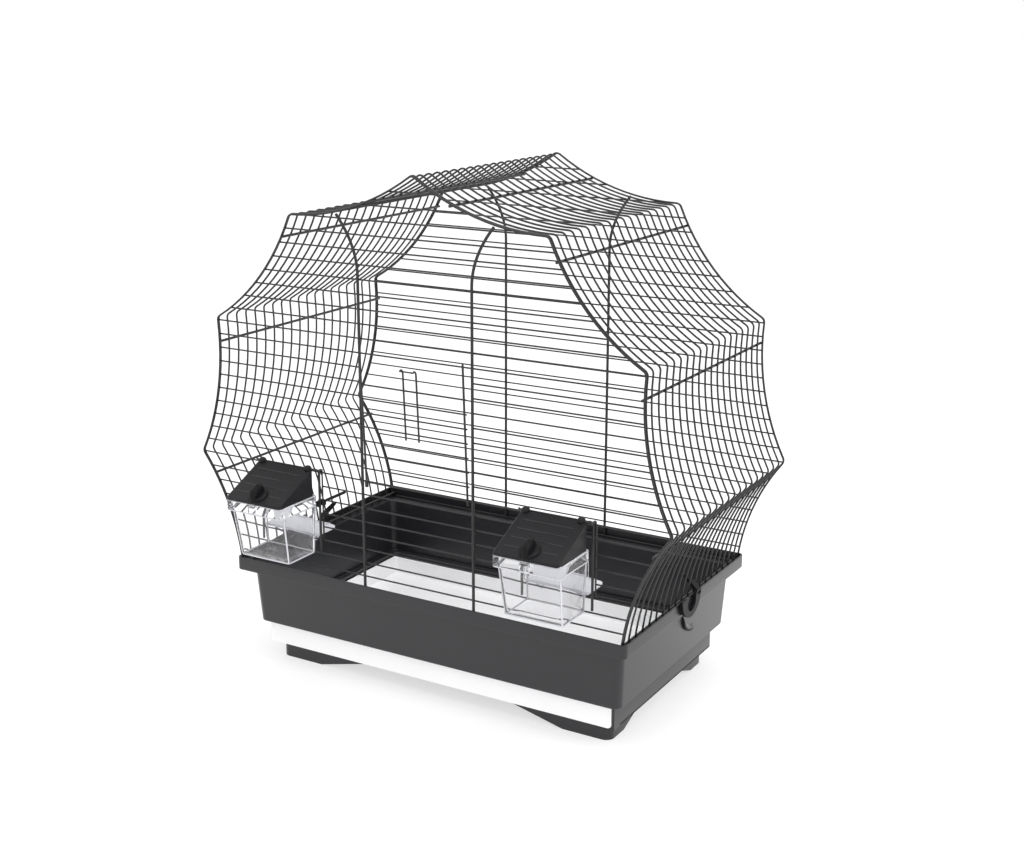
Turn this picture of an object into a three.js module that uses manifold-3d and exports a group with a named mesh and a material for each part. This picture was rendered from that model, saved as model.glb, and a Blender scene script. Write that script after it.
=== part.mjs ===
// Scallop-topped wire bird cage on a moulded drawer base, in millimetres, +Z up, front towards -Y.
// The origin is at the middle of the bottom of the object's box: the base stands on z = 0.
import * as THREE from "three";
import { ConvexGeometry } from "three/addons/geometries/ConvexGeometry.js";
import { mergeVertices } from "three/addons/utils/BufferGeometryUtils.js";
import Module from "manifold-3d";

const wasm = await Module();
wasm.setup();

// ---------------------------------------------------------------- driving dimensions
const clearance = 0.3; // between pieces that touch on the real object
const weld = 0.4; // how far two crossed wires sink into each other
const reach = 1000; // longer than anything here, for cutting bodies

// base: rim, tub wall, drawer level and feet, from the top down
const rimWidth = 500;
const rimMargin = 3.3; // from the cage's first and last wire to the rim's outer face
const rimHeight = 15;
const rimRadius = 6;
const lipThickness = 1.8;
const ledgeDrop = 10.5; // the ledge that the cage stands on, below the top of the lip
const wallThickness = 2.5;
const wallInsetX = 11; // outside of the rim to outside of the wall
const wallInsetY = 13.8;
const wallHeight = 66;
const wallRadius = 10;
const draft = 4; // how much the wall leans in over its height
const levelInset = 9; // each lower level stands in from the one above it
const drawerLevelHeight = 28;
const footHeight = 19;
const footLengthX = 57; // flat under a foot, along X
const footRampX = 80; // from that flat up to the plinth's floor
const footLengthY = 32;
const footRampY = 52;
const crescentRadius = 26; // thumb ridge on each side wall
const crescentWidth = 6;
const crescentHeight = 2;
const crescentDrop = 28; // its centre, below the rim's top
const crescentSetback = 20; // behind the clip's arm

// drawer
const drawerPlay = 1.2; // to the plinth on each side
const drawerWall = 2;
const drawerFrontThickness = 3;
const drawerFrontRadius = 6;
const drawerTopGap = 1;

// cage outline: foot, hip, shoulder, crown and top, each bent out or in from the one below
const cageDepth = 301.4; // between the first and the last wire of the wrap
const cageHeight = 450; // above the rim's top
const footInset = 7; // inside the rim's outer face
const hipReach = 52; // further out than the foot
const shoulderReach = 21;
const crownInset = 85.4; // further in than the foot
const hipHeight = 120; // above the rim's top
const shoulderDrop = 171; // below the cage's top
const crownDrop = 49.6;
const sideSag = 10; // how far each stretch of wire bows in between its two bends
const flankSag = 12;
const shoulderSag = 13.7;
const roofSag = 12.7;
const bendRadius = 6;

// wires
const wireDiameter = 2;
const edgeWireDiameter = 2.2;
const rungDiameter = 1.8;
const barDiameter = 3.2;
const rodDiameter = 3;
const wireCount = 20;
const rungPitch = 15.64;
const firstRung = 9.65; // above the rim's top
const lowestRung = -9; // one more, just over the ledge
const rodPoke = 1; // a rod's end, past the last wire
const lowestRod = -6; // above the rim's top
const rodDrop = 25; // about this far below the upper end of each stretch of wire
const panelSetback = 2.4; // a panel's plane, inside the wrap's end wire
const panelOutset = 0.6; // a panel's edge wire follows the outline this much further out
const barX = 70;
const barBendDrop = 57.4; // where a bar starts to curve out, below the crown
const barLean = 26; // how far out its top end is

// door
const doorInset = 6; // from a bar to the middle of the door's side wire
const doorPoke = 1.6; // its rungs' ends, past the side wires
const doorFoot = 5; // its side wires' ends, past its first rung and past the doorway's top rung
const doorHead = 6;
const doorFirstRung = 7; // rungs are counted from the first one above the rim
const doorLastRung = 14;
const doorwayTopRung = 16;
const doorWireDiameter = 2.4;
const doorLean = 3; // degrees: its top stands out from the panel
const doorGap = 0.5;
const hookHalfWidth = 8.2;
const hookRise = 61; // its lower end, above the door's
const hookDrop = 13; // its top, below the door's
const hookPull = 6; // its top turns out this far from the door

// feeder: heights are above the opening's lower rung
const feederInset = 73.5; // its middle, inside the cage's foot
const openingHalfWidth = 43.2;
const openingFirstRung = 2; // the rung below the opening and the one above it
const openingLastRung = 7;
const bracketInset = 2.4; // its legs, inside the opening's side wires
const bracketDiameter = 2.8;
const bracketDrop = 12.4; // its lower end, below the opening's lower rung
const bracketHook = 5;
const collarInset = 2.8; // from the bracket's leg
const collarFront = 63.5;
const collarHeight = 12.5;
const cupInset = 1.5; // inside the collar
const cupTaper = 3; // narrower at the bottom, on each side
const cupDrop = 15;
const cupRise = 52.6;
const cupWall = 1.6;
const cupBack = 1.2; // in front of the cage's first wire
const cupBaseFront = 47.5;
const cupFront = 59;
const ledgeReach = 35; // behind the cage's first wire
const ledgeThickness = 4;
const ledgeRise = 7.6;
const ledgeGusset = 12;
const lidInset = 0.8; // inside the collar
const lidBack = 7.6;
const lidFront = 65;
const lidThickness = 1.8;
const lidBackRise = 30.5; // above the cup
const lidFrontRise = 3;
const knobRadius = 4;
const knobLength = 7;
const knobInset = 5.7;
const tabRadius = 11;
const tabThickness = 5;
const tabRise = 6.5;
const pegDiameter = 3.6;
const pegLength = 40;
const pegRise = 42.6;
const pegBlock = 9;

// clip
const clipThickness = 4;
const clipHalfWidth = 23.9;
const clipHeight = 25;
const clipBar = 7;
const clipWire = 10; // the arm passes between this wire and the next one, counted from the front
const clipArmWidth = 9;
const clipArmRise = 19;
const clipArmReach = 13;

// ---------------------------------------------------------------- derived sizes
const rimDepth = cageDepth + 2 * rimMargin;
const rimTop = rimHeight + wallHeight + drawerLevelHeight + footHeight;
const ledgeZ = rimTop - ledgeDrop;
const wallBottom = footHeight + drawerLevelHeight;
const wallHalfX = rimWidth / 2 - wallInsetX;
const wallHalfY = rimDepth / 2 - wallInsetY;
const levelHalfX = wallHalfX - draft - levelInset;
const levelHalfY = wallHalfY - draft - levelInset;
const footHalfX = levelHalfX - levelInset;
const footHalfY = levelHalfY - levelInset;
const firstWireY = -cageDepth / 2;
const panelY = cageDepth / 2 - panelSetback;
const wirePitch = cageDepth / (wireCount - 1);
const rungCount = Math.floor((cageHeight - firstRung) / rungPitch);
const rungZ = (n) => rimTop + firstRung + n * rungPitch;
const footHalfWidth = rimWidth / 2 - footInset;
const shoulderHeight = cageHeight - shoulderDrop;
const crownHeight = cageHeight - crownDrop;
const barStraight = crownHeight - barBendDrop;
const doorHalfWidth = barX - doorInset;
const doorBottom = rungZ(doorFirstRung) - doorFoot;
const doorTop = rungZ(doorwayTopRung) + doorHead;
const feederX = footHalfWidth - feederInset;
const bracketHalfWidth = openingHalfWidth - bracketInset;
const collarHalfWidth = bracketHalfWidth - collarInset;
const lidHalfWidth = collarHalfWidth - lidInset;
const feederZ = rungZ(openingFirstRung);
const cupTop = feederZ + cupRise;
const cupBottom = feederZ - cupDrop;
const ledgeTop = feederZ + ledgeRise;
const feederFront = firstWireY - lidFront;
const shiftY = -(feederFront + rimDepth / 2) / 2; // puts the middle of the box's depth at y = 0

// ---------------------------------------------------------------- materials
const material = (color, roughness, metalness = 0, opacity = 1) =>
  new THREE.MeshStandardMaterial({ color, roughness, metalness, opacity, transparent: opacity < 1 });
const materials = {
  wire: material(0x1b1b1b, 0.45, 0.2),
  base: material(0x47474b, 0.55),
  tray: material(0xf2f3f4, 0.5),
  clear: material(0xe4e6f2, 0.08, 0, 0.35),
  lid: material(0x202022, 0.5),
};

// ---------------------------------------------------------------- solids from three.js geometry
function solid(geometry) {
  geometry.deleteAttribute("normal");
  geometry.deleteAttribute("uv");
  const merged = mergeVertices(geometry, 1e-4);
  return new wasm.Manifold(
    new wasm.Mesh({
      numProp: 3,
      vertProperties: merged.attributes.position.array,
      triVerts: new Uint32Array(merged.index.array),
    }),
  );
}

const joined = (solids) => solids.reduce((whole, piece) => whole.add(piece));

function named(name, body, look) {
  const { vertProperties, triVerts } = body.getMesh();
  const geometry = new THREE.BufferGeometry();
  geometry.setAttribute("position", new THREE.BufferAttribute(vertProperties, 3));
  geometry.setIndex(new THREE.BufferAttribute(triVerts, 1));
  geometry.computeVertexNormals();
  const mesh = new THREE.Mesh(geometry, materials[look]);
  mesh.name = name;
  return mesh;
}

// A box from its lowest to its highest corner.
function box(low, high) {
  const size = high.map((h, i) => h - low[i]);
  const geometry = new THREE.BoxGeometry(...size);
  geometry.translate(...low.map((l, i) => l + size[i] / 2));
  return solid(geometry);
}

// An outline drawn in X and Z, made thick along Y from front to back.
function plateXZ(points, front, back) {
  const geometry = new THREE.ExtrudeGeometry(new THREE.Shape(points), {
    depth: back - front,
    bevelEnabled: false,
  });
  geometry.rotateX(Math.PI / 2);
  geometry.translate(0, back, 0);
  return solid(geometry);
}

// An outline drawn in Y and Z, made thick along X from left to right.
function plateYZ(points, left, right) {
  const geometry = new THREE.ExtrudeGeometry(new THREE.Shape(points), {
    depth: right - left,
    bevelEnabled: false,
  });
  geometry.rotateY(Math.PI / 2);
  geometry.rotateX(Math.PI / 2);
  geometry.translate(left, 0, 0);
  return solid(geometry);
}

// A rounded rectangle standing on z = bottom, whose sides lean in by `lean` towards its bottom.
function roundedBlock(halfX, halfY, radius, bottom, top, lean = 0) {
  const shape = new THREE.Shape();
  shape.absarc(halfX - radius, halfY - radius, radius, 0, Math.PI / 2);
  shape.absarc(radius - halfX, halfY - radius, radius, Math.PI / 2, Math.PI);
  shape.absarc(radius - halfX, radius - halfY, radius, Math.PI, 1.5 * Math.PI);
  shape.absarc(halfX - radius, radius - halfY, radius, 1.5 * Math.PI, 2 * Math.PI);
  const geometry = new THREE.ExtrudeGeometry(shape, {
    depth: top - bottom,
    bevelEnabled: false,
    curveSegments: 2,
  });
  const position = geometry.attributes.position;
  for (let i = 0; i < position.count; i++) {
    if (position.getZ(i) > 0) continue;
    position.setX(i, position.getX(i) - lean * Math.sign(position.getX(i)));
    position.setY(i, position.getY(i) - lean * Math.sign(position.getY(i)));
  }
  geometry.translate(0, 0, bottom);
  return solid(geometry);
}

// The side of a square wire with the cross-section of a round one.
const squareSide = (diameter) => (diameter * Math.sqrt(Math.PI)) / 2;

// A straight wire between two points.
function wire(from, to, diameter) {
  const start = new THREE.Vector3(...from);
  const along = new THREE.Vector3(...to).sub(start);
  const side = squareSide(diameter);
  const geometry = new THREE.BoxGeometry(side, side, along.length());
  const turn = new THREE.Quaternion().setFromUnitVectors(
    new THREE.Vector3(0, 0, 1),
    along.clone().normalize(),
  );
  geometry.applyQuaternion(turn);
  geometry.translate(...start.addScaledVector(along, 0.5).toArray());
  return solid(geometry);
}

// ---------------------------------------------------------------- the cage's outline
// It runs from the right foot over the top to the left foot, in X and Z: eight stretches that bow
// in, each an arc about a centre outside the cage, joined by seven rounded bends.
const half = [
  [footHalfWidth, clearance - ledgeDrop],
  [footHalfWidth + hipReach, hipHeight],
  [footHalfWidth + shoulderReach, shoulderHeight],
  [footHalfWidth - crownInset, crownHeight],
].map(([x, z]) => new THREE.Vector2(x, rimTop + z));
const mirrored = (p) => new THREE.Vector2(-p.x, p.y);
const corners = [...half, new THREE.Vector2(0, rimTop + cageHeight), ...half.toReversed().map(mirrored)];
const sags = [sideSag, flankSag, shoulderSag, roofSag];
const stretches = corners.slice(1).map((to, i) => {
  const from = corners[i];
  const sag = sags[Math.min(i, 7 - i)];
  const chord = to.clone().sub(from);
  const radius = chord.lengthSq() / (8 * sag) + sag / 2;
  const outward = new THREE.Vector2(chord.y, -chord.x).normalize();
  const centre = from.clone().addScaledVector(chord, 0.5).addScaledVector(outward, radius - sag);
  return { centre, radius, from, to };
});

// The round bend between two stretches: its centre is bendRadius inside both arcs.
const bends = stretches.slice(1).map((next, i) => {
  const last = stretches[i];
  const a = last.radius + bendRadius;
  const b = next.radius + bendRadius;
  const between = next.centre.clone().sub(last.centre);
  const d = between.length();
  const along = (a * a - b * b + d * d) / (2 * d);
  const aside = Math.sqrt(a * a - along * along);
  const unit = between.clone().divideScalar(d);
  const inward = new THREE.Vector2(unit.y, -unit.x);
  if (inward.dot(next.from.clone().sub(last.centre)) < 0) inward.negate();
  const centre = last.centre.clone().addScaledVector(unit, along).addScaledVector(inward, aside);
  return { centre, radius: bendRadius };
});

const angleTo = (arc, point) => Math.atan2(point.y - arc.centre.y, point.x - arc.centre.x);
const stretchSteps = 3;

// The part of the outline along stretch i, and the bend after it, as a row of points moved out by
// `outset`. `skip` leaves a little of its start free.
function outlinePoints(i, outset, skip = 0) {
  const stretch = stretches[i];
  const start = i > 0 ? bends[i - 1].centre : stretch.from;
  const end = i < bends.length ? bends[i].centre : stretch.to;
  const first = angleTo(stretch, start) - skip / stretch.radius;
  let sweep = angleTo(stretch, end) - first;
  if (sweep > Math.PI) sweep -= 2 * Math.PI;
  if (sweep < -Math.PI) sweep += 2 * Math.PI;
  const points = [];
  for (let k = 0; k <= stretchSteps; k++) {
    const angle = first + (sweep * k) / stretchSteps;
    const r = stretch.radius - outset;
    points.push(
      new THREE.Vector2(
        stretch.centre.x + r * Math.cos(angle),
        stretch.centre.y + r * Math.sin(angle),
      ),
    );
  }
  if (i < bends.length) {
    const bend = bends[i];
    const next = stretches[i + 1];
    const r = bend.radius + outset;
    const towards = bend.centre.clone().sub(next.centre).normalize();
    points.push(bend.centre.clone().addScaledVector(towards, -r));
  }
  return points;
}

// A stretch of square wire: the outline between two offsets.
const band = (i, outset, width, skip) => [
  ...outlinePoints(i, outset + width / 2, skip),
  ...outlinePoints(i, outset - width / 2, skip).reverse(),
];

// The whole outline in one row of points.
function wholeOutline(outset) {
  const points = [];
  stretches.forEach((_, i) => {
    const run = outlinePoints(i, outset);
    points.push(...(i === 0 ? run : run.slice(1)));
  });
  return points;
}

// Where the wires are at a given height on the right side, and the way out from them.
function outlineAt(z) {
  const stretch = [0, 1, 2, 3].find((k) => z <= stretches[k].to.y);
  const points = outlinePoints(stretch, 0);
  const k = points.findIndex((p, n) => n > 0 && z <= p.y);
  const [from, to] = [points[k - 1], points[k]];
  const along = to.clone().sub(from);
  const outward = new THREE.Vector2(along.y, -along.x).normalize();
  return { x: from.x + (along.x * (z - from.y)) / along.y, outward, stretch };
}

// How high the wires are over x, on the right half of the roof.
function roofOver(x) {
  const points = outlinePoints(3, 0);
  const k = points.findIndex((p, n) => n > 0 && x >= p.x);
  const [from, to] = [points[k - 1], points[k]];
  return from.y + ((to.y - from.y) * (x - from.x)) / (to.x - from.x);
}

// ---------------------------------------------------------------- base
const wireY = (j) => firstWireY + j * wirePitch;
const clipArmY = (wireY(clipWire) + wireY(clipWire + 1)) / 2;

// A ridge like a crescent moon, on the right wall under the clip.
function crescent() {
  const shape = new THREE.Shape();
  const from = -0.98 * Math.PI;
  const to = -0.4 * Math.PI;
  shape.absarc(0, 0, crescentRadius, from, to, false);
  shape.absarc(0, 0, crescentRadius - crescentWidth, to, from, true);
  const face = wallHalfX - draft / 2;
  const points = shape.getPoints(3).map(
    (p) => new THREE.Vector2(clipArmY + crescentSetback + p.x, rimTop - crescentDrop + p.y),
  );
  return plateYZ(points, face - crescentHeight, face + crescentHeight);
}

function baseTub() {
  const lipInner = [rimWidth / 2 - lipThickness, rimDepth / 2 - lipThickness];
  const rimBottom = rimTop - rimHeight;
  const ledgeBottom = ledgeZ - wallThickness;
  let tub = roundedBlock(rimWidth / 2, rimDepth / 2, rimRadius, rimBottom, rimTop);
  const lipRadius = rimRadius - lipThickness;
  tub = tub.subtract(roundedBlock(...lipInner, lipRadius, ledgeZ, rimTop + 1));
  tub = tub.subtract(roundedBlock(...lipInner, lipRadius, rimBottom - 1, ledgeBottom));
  tub = tub.add(roundedBlock(wallHalfX, wallHalfY, wallRadius, wallBottom, ledgeBottom + 1, draft));
  const insideX = wallHalfX - wallThickness;
  const insideY = wallHalfY - wallThickness;
  const floor = wallBottom + wallThickness;
  tub = tub.subtract(
    roundedBlock(insideX, insideY, wallRadius - wallThickness, floor, rimTop + 1, draft),
  );
  const opening = roundedBlock(
    levelHalfX - wallThickness,
    levelHalfY - wallThickness,
    wallRadius - wallThickness,
    wallBottom - 1,
    floor + 1,
  );
  return tub.subtract(opening).add(crescent()).add(crescent().mirror([1, 0, 0]));
}

// The outline of the feet seen along one axis: flat at both ends, arched up between.
const archOutline = (halfLength, flat, ramp, height) => [
  [-halfLength, 0],
  [flat - halfLength, 0],
  [flat + ramp - halfLength, height],
  [halfLength - flat - ramp, height],
  [halfLength - flat, 0],
  [halfLength, 0],
  [halfLength, height + wallThickness],
  [-halfLength, height + wallThickness],
].map(([u, z]) => new THREE.Vector2(u, z));

function drawerPlinth() {
  const top = wallBottom - clearance;
  const floor = footHeight + wallThickness;
  const insideX = levelHalfX - wallThickness;
  const insideY = levelHalfY - wallThickness;
  const shell = roundedBlock(levelHalfX, levelHalfY, wallRadius, footHeight, top);
  const inside = roundedBlock(insideX, insideY, wallRadius - wallThickness, floor, top + 1);
  const mouth = box([-insideX, -reach, floor], [insideX, 0, top + 1]);
  const feet = roundedBlock(footHalfX, footHalfY, wallRadius, 0, footHeight + 1)
    .intersect(plateXZ(archOutline(footHalfX, footLengthX, footRampX, footHeight), -reach, reach))
    .intersect(plateYZ(archOutline(footHalfY, footLengthY, footRampY, footHeight), -reach, reach));
  return shell.subtract(inside).subtract(mouth).add(feet);
}

function drawerTray() {
  const bottom = footHeight + wallThickness + clearance;
  const top = wallBottom - drawerTopGap;
  const halfX = levelHalfX - wallThickness - drawerPlay;
  const front = -levelHalfY;
  const back = levelHalfY - wallThickness - drawerPlay;
  const middle = (front + back) / 2;
  const halfY = (back - front) / 2;
  const corner = wallRadius - wallThickness - drawerPlay;
  const place = (s) => s.translate([0, middle, 0]);
  const tray = place(roundedBlock(halfX, halfY, corner, bottom, top));
  const hollow = place(
    roundedBlock(halfX - drawerWall, halfY - drawerWall, corner - drawerWall, bottom + drawerWall, top + 1),
  );
  const r = drawerFrontRadius;
  const plate = new THREE.Shape();
  plate.moveTo(halfX, top);
  plate.lineTo(-halfX, top);
  plate.absarc(r - halfX, bottom + r, r, Math.PI, 1.5 * Math.PI);
  plate.absarc(halfX - r, bottom + r, r, 1.5 * Math.PI, 2 * Math.PI);
  const behindPlate = front + drawerFrontThickness;
  return tray
    .subtract(box([-reach, -reach, 0], [reach, behindPlate - 1, reach]))
    .subtract(hollow)
    .add(plateXZ(plate.getPoints(2), front, behindPlate));
}

// ---------------------------------------------------------------- wrap: the bent grille
// A rod stands midway between two rungs, so that it passes between them at the panels.
const betweenRungs = (height) => rungZ(Math.floor((height - firstRung) / rungPitch) + 0.5);
const stretchTops = [hipHeight, shoulderHeight, crownHeight, cageHeight];
const rodLevels = [rimTop + lowestRod, ...stretchTops.map((height) => betweenRungs(height - rodDrop))];

function wrapPanel(i) {
  const side = squareSide(wireDiameter);
  const outline = band(i, 0, side, i > 0 ? clearance : 0);
  const pieces = [];
  for (let j = 0; j < wireCount; j++) {
    pieces.push(plateXZ(outline, wireY(j) - side / 2, wireY(j) + side / 2));
  }
  const rightStretch = Math.min(i, 7 - i);
  const hand = i < 4 ? 1 : -1;
  for (const z of rodLevels) {
    const { x, outward, stretch } = outlineAt(z);
    if (stretch !== rightStretch) continue;
    pieces.push(crossRod(hand * x, z, hand * outward.x, outward.y));
  }
  return joined(pieces);
}

// A rod along Y on the inner side of the wires, at the outline point (x, z).
function crossRod(x, z, outX, outZ) {
  const side = squareSide(rodDiameter);
  const inset = (squareSide(wireDiameter) + side) / 2 - weld / 2;
  const geometry = new THREE.BoxGeometry(side, cageDepth + 2 * rodPoke, side);
  geometry.rotateY(-Math.atan2(outZ, outX));
  geometry.translate(x - outX * inset, 0, z - outZ * inset);
  return solid(geometry);
}

// ---------------------------------------------------------------- flat panels
function rungs(y) {
  const side = squareSide(rungDiameter);
  const across = (z) => box([-reach, y - side / 2, z - side / 2], [reach, y + side / 2, z + side / 2]);
  const all = [across(rimTop + lowestRung)];
  for (let n = 0; n < rungCount; n++) {
    all.push(across(rungZ(n)));
  }
  return joined(all).intersect(plateXZ(wholeOutline(panelOutset), -reach, reach));
}

// A bar stands on the outer side of the rungs and curves out to meet the outline.
function bar(hand, y, outer) {
  const side = squareSide(barDiameter);
  const centreY = y + outer * ((side + squareSide(rungDiameter)) / 2 - weld);
  const straightTop = rimTop + barStraight;
  const rise = roofOver(barX + barLean) - straightTop - wireDiameter - clearance;
  const centre = [];
  const steps = 5;
  centre.push([barX, ledgeZ + clearance]);
  for (let k = 0; k <= steps; k++) {
    const t = k / steps;
    centre.push([barX + barLean * t * t, straightTop + rise * t]);
  }
  const points = [
    ...centre.map(([x, z]) => new THREE.Vector2(hand * (x - side / 2), z)),
    ...centre.toReversed().map(([x, z]) => new THREE.Vector2(hand * (x + side / 2), z)),
  ];
  return plateXZ(points, centreY - side / 2, centreY + side / 2);
}

function panel(y, outer) {
  const side = squareSide(edgeWireDiameter);
  const edge = stretches.map((_, i) =>
    plateXZ(band(i, panelOutset, side), y - side / 2, y + side / 2),
  );
  return joined([...edge, rungs(y), bar(1, y, outer), bar(-1, y, outer)]);
}

// The front panel with its doorway and the two feeder openings.
function frontPanel() {
  const y = -panelY;
  const thick = squareSide(rungDiameter);
  const bandY = [y - thick, y + thick];
  const doorCut = box(
    [-barX, bandY[0], rungZ(doorFirstRung) + thick],
    [barX, bandY[1], rungZ(doorwayTopRung) - thick],
  );
  let grille = panel(y, -1).subtract(doorCut).add(bar(1, y, -1)).add(bar(-1, y, -1));
  for (const hand of [-1, 1]) {
    const x = hand * feederX;
    const low = rungZ(openingFirstRung);
    const high = rungZ(openingLastRung);
    grille = grille.subtract(
      box(
        [x - openingHalfWidth, bandY[0], low + thick],
        [x + openingHalfWidth, bandY[1], high - thick],
      ),
    );
    for (const edge of [-1, 1]) {
      const edgeX = x + edge * openingHalfWidth;
      grille = grille.add(
        box([edgeX - thick / 2, y - thick / 2, low], [edgeX + thick / 2, y + thick / 2, high]),
      );
    }
  }
  return grille;
}

// The lower corner of the front, round the feeder opening: a piece of its own beside the bar.
const cornerTop = rungZ(openingLastRung + 1.5);
const cornerX = barX + barDiameter;

function cornerBlock(hand, grow) {
  const block = box([cornerX - grow, -reach, 0], [reach, reach, cornerTop + grow]);
  return hand > 0 ? block : block.mirror([1, 0, 0]);
}

const frontGrille = () =>
  frontPanel().subtract(cornerBlock(-1, clearance)).subtract(cornerBlock(1, clearance));
const frontCorner = (hand) => frontPanel().intersect(cornerBlock(hand, 0));

// ---------------------------------------------------------------- door
const doorPivotZ = doorBottom;
const doorY = -panelY - (squareSide(rungDiameter) + squareSide(doorWireDiameter)) / 2 - doorGap;

// Leans a piece drawn upright in the door's plane out about the door's bottom edge.
function leaned(body) {
  return body
    .translate([0, 0, -doorPivotZ])
    .rotate([doorLean, 0, 0])
    .translate([0, doorY, doorPivotZ]);
}

function mainDoor() {
  const side = squareSide(doorWireDiameter);
  const rung = squareSide(rungDiameter);
  const low = doorBottom;
  const high = doorTop;
  const across = doorHalfWidth + side / 2 + doorPoke;
  const pieces = [-1, 1].map((hand) => {
    const x = hand * doorHalfWidth;
    return box([x - side / 2, -side / 2, low], [x + side / 2, side / 2, high]);
  });
  for (let n = doorFirstRung; n <= doorLastRung; n++) {
    const z = rungZ(n);
    pieces.push(box([-across, -rung / 2, z - rung / 2], [across, rung / 2, z + rung / 2]));
  }
  return leaned(joined(pieces));
}

function doorHook() {
  const side = squareSide(doorWireDiameter);
  const y = -(squareSide(rungDiameter) + side) / 2 - clearance;
  const low = doorBottom + hookRise;
  const high = doorTop - hookDrop;
  const pieces = [-1, 1].flatMap((hand) => {
    const x = hand * hookHalfWidth;
    return [
      box([x - side / 2, y - side / 2, low], [x + side / 2, y + side / 2, high]),
      box([x - side / 2, y - hookPull, high - side], [x + side / 2, y + side / 2, high]),
    ];
  });
  const across = hookHalfWidth + side / 2;
  pieces.push(box([-across, y - hookPull, high - side], [across, y + side - hookPull, high]));
  return leaned(joined(pieces));
}

// ---------------------------------------------------------------- feeders
// A tapered block between a lower and an upper rectangle, each [left, right, front, back, z].
function frustum(lower, upper) {
  const points = [lower, upper].flatMap(([left, right, front, back, z]) => [
    new THREE.Vector3(left, front, z),
    new THREE.Vector3(right, front, z),
    new THREE.Vector3(left, back, z),
    new THREE.Vector3(right, back, z),
  ]);
  return solid(new ConvexGeometry(points));
}

// The cup's outer form drawn in by `inset` on its sides, from z = low up to z = high.
function cupForm(inset, low, high) {
  const upperX = collarHalfWidth - cupInset;
  const share = (z) => (z - cupBottom) / (cupTop - cupBottom);
  const at = (z) => {
    const halfX = upperX - cupTaper * (1 - share(z)) - inset;
    const front = cupBaseFront + (cupFront - cupBaseFront) * share(z) - inset;
    return [-halfX, halfX, firstWireY - front, firstWireY - cupBack - inset, z];
  };
  return frustum(at(low), at(high));
}

function feederCup(x) {
  const collar = box(
    [-collarHalfWidth, firstWireY - collarFront, cupTop - collarHeight],
    [collarHalfWidth, firstWireY - cupBack, cupTop],
  );
  return cupForm(0, cupBottom, cupTop)
    .add(collar)
    .subtract(cupForm(cupWall, cupBottom + cupWall, cupTop + 1))
    .translate([x, 0, 0]);
}

// The landing behind the cup, over the opening's lower rung, on a gusset that clears that rung.
function feederLedge(x) {
  const front = firstWireY - cupBack + clearance;
  const bottom = ledgeTop - ledgeThickness;
  const halfX = collarHalfWidth - cupInset;
  const ledge = box([-halfX, front, bottom], [halfX, firstWireY + ledgeReach, ledgeTop]);
  const gusset = plateYZ(
    [
      new THREE.Vector2(front, bottom + 1),
      new THREE.Vector2(firstWireY + 2 * ledgeGusset, bottom + 1),
      new THREE.Vector2(front, bottom + 1 - ledgeGusset),
    ],
    -cupWall,
    cupWall,
  );
  const overRung = feederZ + squareSide(rungDiameter) / 2 + clearance;
  const aboveRung = box([-reach, -reach, overRung], [reach, reach, reach]);
  return ledge.add(gusset.intersect(aboveRung)).translate([x, 0, 0]);
}

function feederLid(x) {
  const low = cupTop + clearance;
  const form = (inset) =>
    plateYZ(
      [
        [firstWireY - lidFront + inset, low - (inset ? 1 : 0)],
        [firstWireY - lidBack - inset, low - (inset ? 1 : 0)],
        [firstWireY - lidBack - inset, cupTop + lidBackRise - inset],
        [firstWireY - lidFront + inset, cupTop + lidFrontRise - inset],
      ].map(([y, z]) => new THREE.Vector2(y, z)),
      inset - lidHalfWidth,
      lidHalfWidth - inset,
    );
  const knob = (hand) => {
    const geometry = new THREE.CylinderGeometry(knobRadius, knobRadius, knobLength, 8);
    geometry.rotateZ(Math.PI / 2);
    geometry.translate(hand * (lidHalfWidth - knobInset), firstWireY - lidBack, cupTop + lidBackRise);
    return solid(geometry);
  };
  const tab = new THREE.CylinderGeometry(tabRadius, tabRadius, tabThickness, 12);
  tab.rotateZ(Math.PI / 2);
  tab.translate(0, firstWireY - lidFront + tabRadius, cupTop + tabRise);
  const aboveLid = box([-reach, -reach, low], [reach, reach, reach]);
  return joined([form(0), solid(tab).intersect(aboveLid), knob(1), knob(-1)])
    .subtract(form(lidThickness))
    .translate([x, 0, 0]);
}

// Two legs beside the opening, joined over it, with a hook over the rung on top of each leg.
function feederBracket(x) {
  const side = squareSide(bracketDiameter);
  const rung = squareSide(rungDiameter);
  const y = -panelY - (side + rung) / 2 - clearance;
  const overRung = rungZ(openingLastRung) + rung / 2 + clearance;
  const pieces = [-1, 1].flatMap((hand) => {
    const legX = x + hand * bracketHalfWidth;
    const across = [legX - side / 2, legX + side / 2];
    const inner = -panelY + rung / 2 + clearance;
    return [
      box([across[0], y - side / 2, feederZ - bracketDrop], [across[1], y + side / 2, overRung + side]),
      box([across[0], y, overRung], [across[1], inner + side, overRung + side]),
      box([across[0], inner, overRung - bracketHook], [across[1], inner + side, overRung + side]),
    ];
  });
  const reachX = bracketHalfWidth;
  pieces.push(box([x - reachX, y - side / 2, overRung], [x + reachX, y + side / 2, overRung + side]));
  return joined(pieces);
}

// A peg into the cage, on a block that sits against the opening's edge wire.
function perchPeg(x, hand) {
  const edgeX = x - hand * openingHalfWidth;
  const rung = squareSide(rungDiameter);
  const front = -panelY + rung / 2 + clearance;
  const z = feederZ + pegRise;
  const half = pegBlock / 2;
  const geometry = new THREE.CylinderGeometry(pegDiameter / 2, pegDiameter / 2, pegLength, 8);
  geometry.translate(edgeX, front + half + pegLength / 2, z);
  return solid(geometry).add(box([edgeX - half, front, z - half], [edgeX + half, front + half, z + half]));
}

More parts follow.
